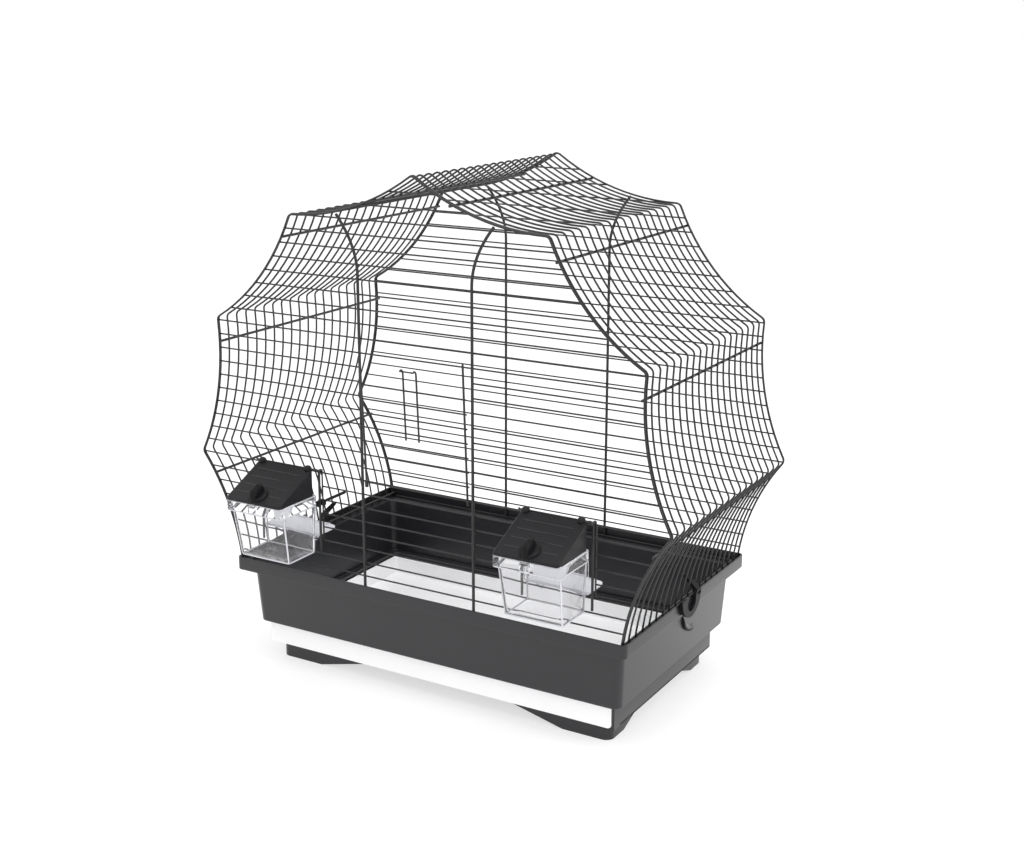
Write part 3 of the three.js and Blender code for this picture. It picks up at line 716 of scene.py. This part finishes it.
tub = tub_shape().join(crescent(1, ridge_section)).join(crescent(-1, ridge_section))
piece("tub", tub, base_plastic, "base", ["base_tub"], smooth=40)
# Black bands on the thumb ridges' steep outer sides: painted shade.
edges = crescent(1, ridge_shade_section).join(crescent(-1, ridge_shade_section))
piece("thumb_ridge_painted_shade", edges, black_plastic, "base", smooth=40)


def arch(u, half, flat, ramp):
    """How high the underside is at a distance u from the middle."""
    rise = (half - flat - abs(u)) / ramp
    return FOOT_HEIGHT * min(1, max(0, rise))


def plinth_shape():
    """The drawer's housing: three walls round a floor plate, open to the front. The left wall and
    the floor stop behind the drawer's front plate."""
    half_x, half_y = PLINTH_HIGH.x, (PLINTH_HIGH.y - PLINTH_LOW.y) / 2
    top = PLINTH_HIGH.z
    floor = FOOT_HEIGHT + WALL
    ring = rounded_rect(-half_x, half_x, MID_Y - half_y, MID_Y + half_y, WALL_RADIUS, 0)
    back_half = [p for p in ring if p[1] > MID_Y]
    path = [(half_x, MID_Y - half_y, 0), (half_x, MID_Y, 0)] + back_half
    back = TRAY_FRONT + TRAY_FRONT_GAP
    path += [(-half_x, MID_Y, 0), (-half_x, MID_Y - half_y + back, 0)]
    pts = [Vector(p[:2]) for p in path]
    section = [(0, FOOT_HEIGHT), (0, top), (WALL, top), (WALL, FOOT_HEIGHT)]
    section = soften(section, 0.6, closed=True)
    rings = []
    for i, p in enumerate(pts):
        way = (pts[min(i + 1, len(pts) - 1)] - pts[max(i - 1, 0)]).normalized()
        inward = Vector((-way.y, way.x))
        rings.append([(p.x + inward.x * w, p.y + inward.y * w, z) for w, z in section])
    shape = loft(rings)
    deep = half_y - back / 2
    plate = [(*PLATE_CORE, FOOT_HEIGHT), (half_x, deep, WALL_RADIUS, FOOT_HEIGHT)]
    plate += [(half_x, deep, WALL_RADIUS, floor), (*PLATE_CORE, floor)]
    return shape.join(revolve_rect(plate, 0.6, closed=False, mid=(0, MID_Y + back / 2)))


def feet_shape():
    """The lowest level: a block arched up between its corners, both ways."""
    half_x = PLINTH_HIGH.x - LEVEL_INSET
    half_y = (PLINTH_HIGH.y - PLINTH_LOW.y) / 2 - LEVEL_INSET
    bm = bmesh.new()
    ring = rounded_rect(-half_x, half_x, -half_y, half_y, WALL_RADIUS, FOOT_HEIGHT)
    bm.faces.new([bm.verts.new(p) for p in ring])
    halves = (half_x, half_y)
    for axis, half in enumerate(halves):
        flat, ramp = FOOT_FLAT[axis], FOOT_RAMP[axis]
        cuts = [half - flat, half - flat - ramp, half - flat - ramp / 2]
        for cut in (s * c for c in cuts for s in (-1, 1)):
            plane = [0, 0, 0]
            plane[axis] = cut
            normal = [0, 0, 0]
            normal[axis] = 1
            everything = bm.verts[:] + bm.edges[:] + bm.faces[:]
            bmesh.ops.bisect_plane(bm, geom=everything, plane_co=plane, plane_no=normal)
    made = bmesh.ops.extrude_face_region(bm, geom=bm.faces[:])["geom"]
    for v in (g for g in made if isinstance(g, bmesh.types.BMVert)):
        levels = [arch(v.co[a], halves[a], FOOT_FLAT[a], FOOT_RAMP[a]) for a in (0, 1)]
        v.co.z = min(max(levels), FOOT_HEIGHT - FOOT_SKIN)
    bm.verts.index_update()
    shape = Shape().add(
        [(v.co.x, v.co.y + MID_Y, v.co.z) for v in bm.verts],
        [[v.index for v in f.verts] for f in bm.faces],
    )
    bm.free()
    return shape


piece("plinth_housing", plinth_shape(), base_plastic, "base", ["drawer_plinth"], smooth=40)
piece("plinth_feet", feet_shape(), base_plastic, "base", bevel=0.8, smooth=30)


# ---------------------------------------------------------------- drawer
def tray_shape():
    """The open tray, which starts inside the front plate."""
    half_x = TRAY_HIGH.x
    front, back = TRAY_LOW.y, TRAY_HIGH.y
    low, top = TRAY_LOW.z, TRAY_HIGH.z
    behind = front + TRAY_START
    mid_y, half_y = (behind + back) / 2, (back - behind) / 2
    wall, radius = TRAY_WALL, TRAY_RADIUS
    floor = low + wall
    profile = [
        (*PLATE_CORE, low),
        (half_x, half_y, radius, low),
        (half_x, half_y, radius, top),
        (half_x - wall, half_y - wall, radius - wall, top),
        (half_x - wall, half_y - wall, radius - wall, floor),
        (*PLATE_CORE, floor),
    ]
    return revolve_rect(profile, 0.8, closed=False, mid=(0, mid_y))


def tray_front_shape():
    """The plate covers the plinth's left wall and its floor, and stops inside its right wall."""
    left, right = PLINTH_LOW.x + TRAY_FRONT_SIDE, TRAY_HIGH.x
    low, top = FOOT_HEIGHT + TRAY_FRONT_GAP, TRAY_HIGH.z
    front = TRAY_LOW.y
    r = TRAY_FRONT_RADIUS
    plate = [(right, top), (left, top), (left, low)]
    plate += arc((right - r, low + r), r, 270, 360, 8)
    return prism(plate, front, front + TRAY_FRONT, along_y)


piece("tray_body", tray_shape(), tray_plastic, "drawer", ["drawer_tray"], smooth=40)
piece("tray_front", tray_front_shape(), tray_plastic, "drawer", bevel=0.8, smooth=30)


# ---------------------------------------------------------------- feeders
# Heights are from the rung below the opening. A reach is how far a face stands in front of the
# cage's first wire.
OPENING_Z = RIM_TOP + OPENING_LOW
CUP_GAP = 1.2
CUP_BACK = FIRST_WIRE_Y - CUP_GAP
CUP_DROP = 15
CUP_RISE = 52.6
CUP_LOW, CUP_HIGH = OPENING_Z - CUP_DROP, OPENING_Z + CUP_RISE
CUP_WALL = 1.6
CUP_TAPER = 3
CUP_REACH = 47.5
CUP_FLARE = 11.5
COLLAR_INSET = 2.8
COLLAR_HALF = BRACKET_HALF - COLLAR_INSET
COLLAR_REACH = 63.5
COLLAR_HEIGHT = 12.5
COLLAR_LOW = CUP_HIGH - COLLAR_HEIGHT
CUP_INSET = 1.5
CUP_HALF = COLLAR_HALF - CUP_INSET
FLOOR_CORE = 14.0
LEDGE_RISE = 7.6
LEDGE_REACH = 35
LEDGE_RADIUS = 6
LEDGE_DEEP = 4
LEDGE_RIB_X = 24
LEDGE_RIB_DEEP = 10
EDGE_BEAD = 1.9
EDGE_SINK = 1.2
SNAP_HALF = 5.5
SILL_HALF = 4


def cup_ring(half, front, z, inset=0.0, r=3.0):
    """A rounded rectangle round a cup: half its width, how far it stands in front of the cage."""
    return rounded_rect(
        inset - half, half - inset, FIRST_WIRE_Y - front + inset, CUP_BACK - inset, r, z, steps=4
    )


def cup_size(z):
    """Half a cup's width at height z, and how far it stands in front of the cage."""
    t = (z - CUP_LOW) / (CUP_HIGH - CUP_LOW)
    return CUP_HALF - CUP_TAPER * (1 - t), CUP_REACH + CUP_FLARE * t


def cup_shape(x):
    """A clear cup: tapered walls, a stepped collar and a floor."""
    rows = [(*cup_size(CUP_LOW), CUP_LOW, FLOOR_CORE), (*cup_size(CUP_LOW), CUP_LOW, 0.8)]
    under = COLLAR_LOW - 1
    rows += [(*cup_size(CUP_LOW + 1), CUP_LOW + 1, 0.0), (*cup_size(under), under, 0)]
    rows += [(COLLAR_HALF - 0.5, COLLAR_REACH - 0.5, COLLAR_LOW, 0.0)]
    rows += [(COLLAR_HALF, COLLAR_REACH, z, 0.0) for z in (COLLAR_LOW + 1, CUP_HIGH - 0.6)]
    rows += [(COLLAR_HALF, COLLAR_REACH, CUP_HIGH, 0.5)]
    step = CUP_HIGH - 6
    wall_top, wall_step = cup_size(CUP_HIGH), cup_size(step)
    rows += [(*wall_top, CUP_HIGH, CUP_WALL - 0.5), (*wall_step, step, CUP_WALL)]
    bottom = CUP_LOW + CUP_WALL
    insets = ((bottom + 1, CUP_WALL), (bottom, CUP_WALL + 0.8), (bottom, FLOOR_CORE))
    rows += [(*cup_size(bottom), z, inset) for z, inset in insets]
    rings = [cup_ring(half, front, z, inset) for half, front, z, inset in rows]
    return loft(rings).moved(Matrix.Translation((x, 0, 0)))


def ledge_shape(x):
    """The landing behind the cup, with a thin lip at its end and V ribs under it."""
    top = OPENING_Z + LEDGE_RISE
    under = top - LEDGE_DEEP
    back = FIRST_WIRE_Y + LEDGE_REACH
    start = CUP_BACK + 0.3
    r = LEDGE_RADIUS
    plan = [(-CUP_HALF, start), (CUP_HALF, start)]
    plan += arc((CUP_HALF - r, back - r), r, 0, 90, 6)
    plan += arc((r - CUP_HALF, back - r), r, 90, 180, 6)
    shape = prism(plan, under, top - 1.2, upright)
    lip = [(back - 3, top - 3), (back - 1, top - 3)]
    lip += [(back - 1.2, top + 0.2), (back - 2.6, top + 0.2)]
    shape.join(prism(lip, 8 - CUP_HALF, CUP_HALF - 8, along_x))
    tip, foot = start + 13, under - LEDGE_RIB_DEEP
    rib_half, rib_thick = 1.2, 0.9
    for u in (-LEDGE_RIB_X, LEDGE_RIB_X):
        for root, lean in ((start + 1, 1), (start + 27, -1)):
            rib = [(root, under), (root + 2 * rib_thick * lean, under)]
            rib += [(tip + rib_thick * lean, foot), (tip - rib_thick * lean, foot)]
            shape.join(prism(rib, u - rib_half, u + rib_half, along_x))
    return shape.moved(Matrix.Translation((x, 0, 0)))


def cup_edge_highlights(x):
    """Beads of whiter, less clear plastic along a cup's rim, its collar's step, its floor and its
    corners: painted highlight where these edges catch the light.
    """
    shape = Shape()

    def bead(points, diameter):
        shape.join(tube(points, diameter, sides=8))

    levels = [(COLLAR_HALF, COLLAR_REACH, CUP_HIGH - 0.8, 1.3)]
    levels += [(COLLAR_HALF, COLLAR_REACH, COLLAR_LOW + 0.8, 1.5)]
    levels += [(*cup_size(CUP_LOW + 0.9), CUP_LOW + 0.9, EDGE_BEAD)]
    for half, front, z, diameter in levels:
        ring = cup_ring(half, front, z, 0.6)
        bead(ring + ring[:2], diameter)
    foot, head = cup_size(CUP_LOW + 1), cup_size(COLLAR_LOW)
    front = (-foot[1] + EDGE_SINK, -head[1] + EDGE_SINK)
    for hand in (-1, 1):
        for low_y, high_y in (front, (-2.2, -2.2)):
            low = (hand * (foot[0] - EDGE_SINK), FIRST_WIRE_Y + low_y, CUP_LOW + 1)
            high = (hand * (head[0] - EDGE_SINK), FIRST_WIRE_Y + high_y, COLLAR_LOW + 0.5)
            bead([low, high], EDGE_BEAD)
    return shape.moved(Matrix.Translation((x, 0, 0)))


def cup_extras(x):
    """The snap under the lid's tab, and the flanges at the back edges of the cup."""
    front = FIRST_WIRE_Y - 66.0
    back, nose = front + 2.4, front - 2.2
    snap = [(front, CUP_HIGH - 9), (back, CUP_HIGH - 11)]
    snap += [(back, CUP_HIGH - 1), (front, CUP_HIGH - 1.5)]
    shape = prism(snap, -SNAP_HALF, SNAP_HALF, along_x)
    sill = [(nose, CUP_HIGH - 2.6), (back, CUP_HIGH - 2.6)]
    sill += [(back, CUP_HIGH - 0.4), (nose, CUP_HIGH - 0.8)]
    shape.join(prism(sill, -SILL_HALF, SILL_HALF, along_x))
    for hand in (-1, 1):
        low = OPENING_Z + 2
        edge = cup_size(low)[0]
        flange = [(edge - 0.5, low), (edge + 2.6, low + 4)]
        flange += [(CUP_HALF + 0.6, COLLAR_LOW - 0.4), (CUP_HALF - 1, COLLAR_LOW - 0.4)]
        flange = [(hand * u, v) for u, v in flange]
        shape.join(prism(flange, CUP_BACK - 1.7, CUP_BACK - 0.1, along_y))
    return shape.moved(Matrix.Translation((x, 0, 0)))


LID_INSET = 0.8
LID_HALF = COLLAR_HALF - LID_INSET
LID_BACK = FIRST_WIRE_Y - 7.6
LID_FRONT = FIRST_WIRE_Y - 65
LID_LOW = CUP_HIGH + 0.3
LID_BACK_TOP = CUP_HIGH + 30.5
LID_FRONT_TOP = CUP_HIGH + 3
LID_WALL = 1.8
LID_CHAMFER = 1.2
LID_CORNER = 4.0
RIB_COUNT = 4
RIB_START = 12
RIB_PITCH = 11.5
RIB_INSET = 8
TAB_BACK = 10.5
TAB_BLADE = 12.2
KNOB_INSET = 5.7
KNOB_RADIUS = 4.5
KNOB_HALF = 3.4
LID_SLOPE = (LID_BACK_TOP - LID_FRONT_TOP) / (LID_BACK - LID_FRONT)


def lid_top(y):
    """The height of the lid's slope at y."""
    return LID_FRONT_TOP + (y - LID_FRONT) * LID_SLOPE


def lid_shape(x):
    """A hollow wedge: a sloping top, cheeks and a back, open below. The top's sides are chamfered."""

    def section(y, inset):
        """Across the lid at y: the plan's front corners are round."""
        top = lid_top(y) - inset
        short = max(0.0, LID_CORNER - (y - LID_FRONT - inset))
        round_in = LID_CORNER - math.sqrt(max(0.0, LID_CORNER**2 - short**2))
        half = LID_HALF - inset - round_in
        drop = min(LID_CHAMFER, max(0.6, top - LID_LOW - 0.8))
        left = [(-half, y, LID_LOW), (-half, y, top - drop), (drop - half, y, top)]
        right = [(half - drop, y, top), (half, y, top - drop), (half, y, LID_LOW)]
        return left + right

    stations = [LID_FRONT + d for d in (0.2, 0.6, 1.3, 2.4, 4, 18, 38)]
    outer = [section(y, 0) for y in stations + [LID_BACK]]
    start = LID_FRONT + LID_WALL + 0.3
    inner = [section(max(y, start + k * 0.3), LID_WALL) for k, y in enumerate(stations)]
    inner.append(section(LID_BACK - LID_WALL, LID_WALL))
    verts = [p for s in outer + inner for p in s]
    rows, n = len(outer), 6
    faces = []
    for base in (0, rows * n):
        for k in range(rows - 1):
            for i in range(n - 1):
                a = base + k * n + i
                faces.append((a, a + 1, a + n + 1, a + n))
        faces.append(tuple(base + i for i in range(n)))
        faces.append(tuple(base + (rows - 1) * n + i for i in range(n)))
    inner_start = rows * n
    for k in range(rows - 1):
        for i in (0, n - 1):
            a = k * n + i
            faces.append((a, a + n, a + n + inner_start, a + inner_start))
    faces.append((0, n - 1, n - 1 + inner_start, inner_start))
    last = (rows - 1) * n
    faces.append((last, last + n - 1, last + n - 1 + inner_start, last + inner_start))
    return Shape().add(verts, faces).moved(Matrix.Translation((x, 0, 0)))


def lid_ribs(x):
    """Fine sharp ribs across the slope, the front one broken by the tab."""
    shape = Shape()
    for k in range(RIB_COUNT):
        y = LID_FRONT + RIB_START + k * RIB_PITCH
        half = LID_HALF - RIB_INSET
        z = lid_top(y)
        section = [(y - 0.6, z - 0.9), (y - 0.4, z + 0.35), (y, z + 0.55), (y + 0.55, z - 0.2)]
        pieces = [(-half, half)] if k else [(-half, -13), (14, half)]
        for a, b in pieces:
            shape.join(prism(section, a, b, along_x))
    return shape.moved(Matrix.Translation((x, 0, 0)))


def lid_tab(x):
    """A turn tab: a round foot on the slope with a thin curved finger blade standing on it."""
    y = LID_FRONT + TAB_BACK
    lean = Matrix.Translation((x, y, lid_top(y))) @ Matrix.Rotation(math.atan(LID_SLOPE), 4, "X")
    foot = arc((0, 0), 1, 0, 360, 32)[:-1]
    rows = soften([(11.4, -1.0), (11.4, 1.2), (9.4, 2.4), (1, 2.4)], 0.7)
    rings = [[(u * r, v * r, z) for u, v in foot] for r, z in rows]
    shape = loft(rings)
    blade = arc((0, 0), TAB_BLADE, 0, 180, 18)
    blade = [(u, max(v, 0) * 1.02 + 0.4) for u, v in blade]
    rings = []
    for w, share in ((-2.5, 0.88), (-2.1, 0.97), (-0.6, 1.0), (1.4, 0.93), (3.4, 0.7)):
        rings.append([(w, u * share, v * share) for u, v in blade])
    shape.join(loft(rings))
    return shape.moved(lean)


def knobs(x):
    """Two round pivots at the lid's top back edge."""
    shape = Shape()
    circle = arc((0, 0), 1, 0, 360, 20)[:-1]
    half = [(0.3, KNOB_HALF), (3.4, KNOB_HALF)]
    rows = [(r, -w) for r, w in half] + [(KNOB_RADIUS, 0)] + half[::-1]
    rows = soften(rows, 1.3)
    for hand in (-1, 1):
        mid = x + hand * (LID_HALF - KNOB_INSET)
        rings = []
        for r, w in rows:
            rings.append([(mid + w, LID_BACK + u * r, LID_BACK_TOP + v * r) for u, v in circle])
        shape.join(loft(rings))
    return shape


def bracket_wires(x):
    """Two free-ended legs, hooked over the rung above the opening and joined along it. From each a
    wire curls forward to the pivot at the lid's back corner."""
    shape = Shape()
    panel_y = MID_Y - PANEL_Y
    y = panel_y - (BRACKET_WIRE + RUNG_WIRE) / 2 - BRACKET_GAP
    over = rung_z(OPENING_RUNGS[1]) + RUNG_WIRE / 2 + BRACKET_WIRE / 2 + BRACKET_GAP
    behind = panel_y + (BRACKET_WIRE + RUNG_WIRE) / 2 + BRACKET_GAP
    for hand in (-1, 1):
        leg = x + hand * BRACKET_HALF
        path = [(leg, y, RIM_TOP + BRACKET_BOTTOM), (leg, y, over - 3)]
        for a in (math.radians(d) for d in (165, 130, 90, 50, 15)):
            path.append((leg, panel_y + 2.4 * math.cos(a), over - 1.2 + 1.4 * math.sin(a)))
        path += [(leg, behind, over - 4.0), (leg, behind, over - 6)]
        shape.join(tube(path, BRACKET_WIRE, sides=12))
        pivot = x + hand * (LID_HALF - KNOB_INSET + 2.6)
        curl = [(leg, y + 0.1, over - 9), (leg, y - 0.4, over - 1)]
        curl += [(leg, LID_BACK + 1, LID_BACK_TOP + 1), (leg - hand * 3, LID_BACK, LID_BACK_TOP)]
        curl += [(pivot, LID_BACK, LID_BACK_TOP)]
        shape.join(tube(soften(curl, 5, steps=6), BRACKET_WIRE - 0.5, sides=12))
    across = [(x - BRACKET_HALF, y, over), (x + BRACKET_HALF, y, over)]
    return shape.join(tube(across, BRACKET_WIRE - 0.4, sides=12))


# A peg: its height over the opening's lower rung, half its block's height, then where it stands.
PEG_RISE = 42.6
PEG_HALF = 3.2
PEG_INSET = 3.8
PEG_REACH = 45.4
PEG_PIN = 3.4


def peg_shape(x, hand):
    """A block behind the grille and a cap in front of the bracket's leg, joined beside that leg, and
    a thin peg into the cage."""
    panel_y = MID_Y - PANEL_Y
    edge = x - hand * OPENING_HALF
    z = OPENING_Z + PEG_RISE

    def block(mid, half_x, front, back):
        rings = []
        for y, share in ((front, 0.82), (front + 0.6, 1), (back - 0.6, 1), (back, 0.82)):
            wide, tall = half_x * share, PEG_HALF * share
            ring = rounded_rect(-wide, wide, -tall, tall, 1.2, 0, steps=4)
            rings.append([(mid + u, y, z + v) for u, v, _ in ring])
        return loft(rings)

    near = edge + hand * PEG_INSET
    shape = block(near, 4.4, panel_y + 1.1, panel_y + 5.5)
    shape.join(block(near + hand * 0.55, 0.45, panel_y - 5.6, panel_y + 3))
    shape.join(block(near - hand * 1.2, 2.2, panel_y - 6.0, panel_y - 4.1))
    pin = [(near, panel_y + 5, z), (near, panel_y + PEG_REACH, z)]
    return shape.join(tube(pin, PEG_PIN, sides=14))


for side, hand in (("left", -1), ("right", 1)):
    x = hand * FEEDER_X
    cup, lid = f"cup_{side}", f"lid_{side}"
    bowl, ledge, hood = [f"feeder_{cup}"], [f"feeder_ledge_{side}"], [f"feeder_{lid}"]
    bracket, peg = [f"feeder_bracket_{side}"], [f"perch_peg_{side}"]
    piece(f"{cup}_bowl", cup_shape(x), clear_plastic, cup, bowl, smooth=50)
    # The beads along the cup's edges: painted highlight.
    piece(f"{cup}_edges", cup_edge_highlights(x), clear_edges, cup, smooth=60)
    piece(f"{cup}_snap", cup_extras(x), clear_plastic, cup, bevel=0.3, smooth=30)
    piece(f"{cup}_ledge", ledge_shape(x), clear_edges, cup, ledge, bevel=0.4, smooth=30)
    piece(f"{lid}_hood", lid_shape(x).join(knobs(x)), lid_plastic, lid, hood, bevel=0.5)
    piece(f"{lid}_turn_tab", lid_tab(x), black_plastic, lid, bevel=0.4)
    piece(f"{lid}_ribs", lid_ribs(x), rib_highlight_plastic, lid, smooth=30)
    piece(f"bracket_{side}_wires", bracket_wires(x), wire_paint, "cage", bracket)
    piece(f"peg_{side}", peg_shape(x, hand), black_plastic, "cage", peg)


# ---------------------------------------------------------------- side clips
# How far a clip stands off the rim, rises over it and reaches back from the base's middle, then
# its loop and its arm.
CLIP_GAP = 0.6
CLIP_THICK = 4
CLIP_RISE = 4
CLIP_HIGH = 25
CLIP_HALF = 23.9
CLIP_BACK = 20.36
CLIP_BAR = 6.8
CLIP_HOLE = 10.6
CLIP_ARM = 9
CLIP_REACH = 13
CLIP_TIP = 16


def clip_shape(hand):
    """A finger loop outside the rim, and the arm from its top that reaches in over the lip."""
    inner = RIM_HALF_X + CLIP_GAP
    outer = inner + CLIP_THICK
    top = RIM_TOP + CLIP_RISE
    bottom = top - CLIP_HIGH
    back = MID_Y + CLIP_BACK
    mid = back - CLIP_HALF
    hole = CLIP_HOLE
    dip = bottom + CLIP_BAR + hole
    round_z = bottom + CLIP_HALF
    loop = [(back, top), (mid + hole + 3, top), (mid + hole + 0.8, dip + 5)]
    loop += arc((mid, dip), hole, 0, -180, 20)
    loop += [(mid - hole - 0.4, round_z)]
    loop += arc((mid, round_z), CLIP_HALF, -180, 0, 28)
    shape = prism(loop, inner, outer, along_x)
    arm = [(inner, top - CLIP_BAR), (outer, top - CLIP_BAR), (outer, top)]
    tip = inner - CLIP_REACH
    arm += [(tip, top + CLIP_TIP), (tip, top + CLIP_TIP - 4), (inner, top - 3)]
    shape.join(prism(soften(arm, 2.0, closed=True), back - CLIP_ARM, back, along_y))
    return shape if hand > 0 else shape.moved(Matrix.Scale(-1, 4, (1, 0, 0)))


for side, hand in (("left", -1), ("right", 1)):
    clip, made = f"clip_{side}", clip_shape(hand)
    piece(clip, made, black_plastic, clip, [f"side_{clip}"], bevel=0.9)

# ---------------------------------------------------------------- floor, light and camera
FLOOR_REACH = 40.0
signs = ((-1, -1), (1, -1), (1, 1), (-1, 1))
floor_corners = [(u * FLOOR_REACH, v * FLOOR_REACH, 0) for u, v in signs]
floor_mesh = bpy.data.meshes.new("floor")
floor_mesh.from_pydata(floor_corners, [], [(0, 1, 2, 3)])
floor = bpy.data.objects.new("floor", floor_mesh)
bpy.context.scene.collection.objects.link(floor)
floor_paint = moulded(
    "floor_paint",
    (0.45, 0.45, 0.45),
    0.8,
    mottle=0.002,
    bump=0.0,
    Emission_Color=(1.0, 1.0, 1.0, 1.0),
    Emission_Strength=0.62,
    Specular_IOR_Level=0.1,
)
floor_mesh.materials.append(floor_paint)

world = bpy.data.worlds.new("studio")
bpy.context.scene.world = world
world.use_nodes = True
sky = world.node_tree.nodes["Background"]
sky.inputs["Color"].default_value = (1.0, 1.0, 1.0, 1)
sky.inputs["Strength"].default_value = 1.0


def softbox(name, place, target, size, power):
    """An area lamp turned to face a target. Places and sizes are in metres, power in watts."""
    light = bpy.data.lights.new(name, "AREA")
    light.shape = "RECTANGLE"
    light.size, light.size_y = size
    light.energy = power
    lamp = bpy.data.objects.new(name, light)
    bpy.context.scene.collection.objects.link(lamp)
    lamp.location = place
    way = Vector(target) - Vector(place)
    lamp.rotation_euler = way.to_track_quat("-Z", "Y").to_euler()


CENTRE = (0.0, MID_Y * MM, 0.25)
softbox("top_softbox", (0.2, -0.3, 2.6), CENTRE, (2.2, 2.2), 30)
softbox("right_softbox", (2.4, 0.4, 1.3), CENTRE, (1.6, 1.8), 14.5)

# Metres, and angles in degrees.
CAMERA_PLACE = (0.8541, -1.36425, 0.7355)
CAMERA_TURN = math.radians(30.249)
CAMERA_DIP = math.radians(14.727)
CAMERA_ROLL = math.radians(0.172)
CAMERA_LENS = 52.73
CAMERA_SENSOR = 36.0
CAMERA_SHIFT = (-0.0097, -0.0263)
camera_data = bpy.data.cameras.new("camera")
camera_data.lens = CAMERA_LENS
camera_data.sensor_width = CAMERA_SENSOR
camera_data.shift_x, camera_data.shift_y = CAMERA_SHIFT
camera = bpy.data.objects.new("camera", camera_data)
bpy.context.scene.collection.objects.link(camera)
camera.matrix_world = (
    Matrix.Translation(CAMERA_PLACE)
    @ Matrix.Rotation(CAMERA_TURN, 4, "Z")
    @ Matrix.Rotation(math.pi / 2 - CAMERA_DIP, 4, "X")
    @ Matrix.Rotation(CAMERA_ROLL, 4, "Z")
)
bpy.context.scene.camera = camera
bpy.context.scene.view_settings.view_transform = "Standard"
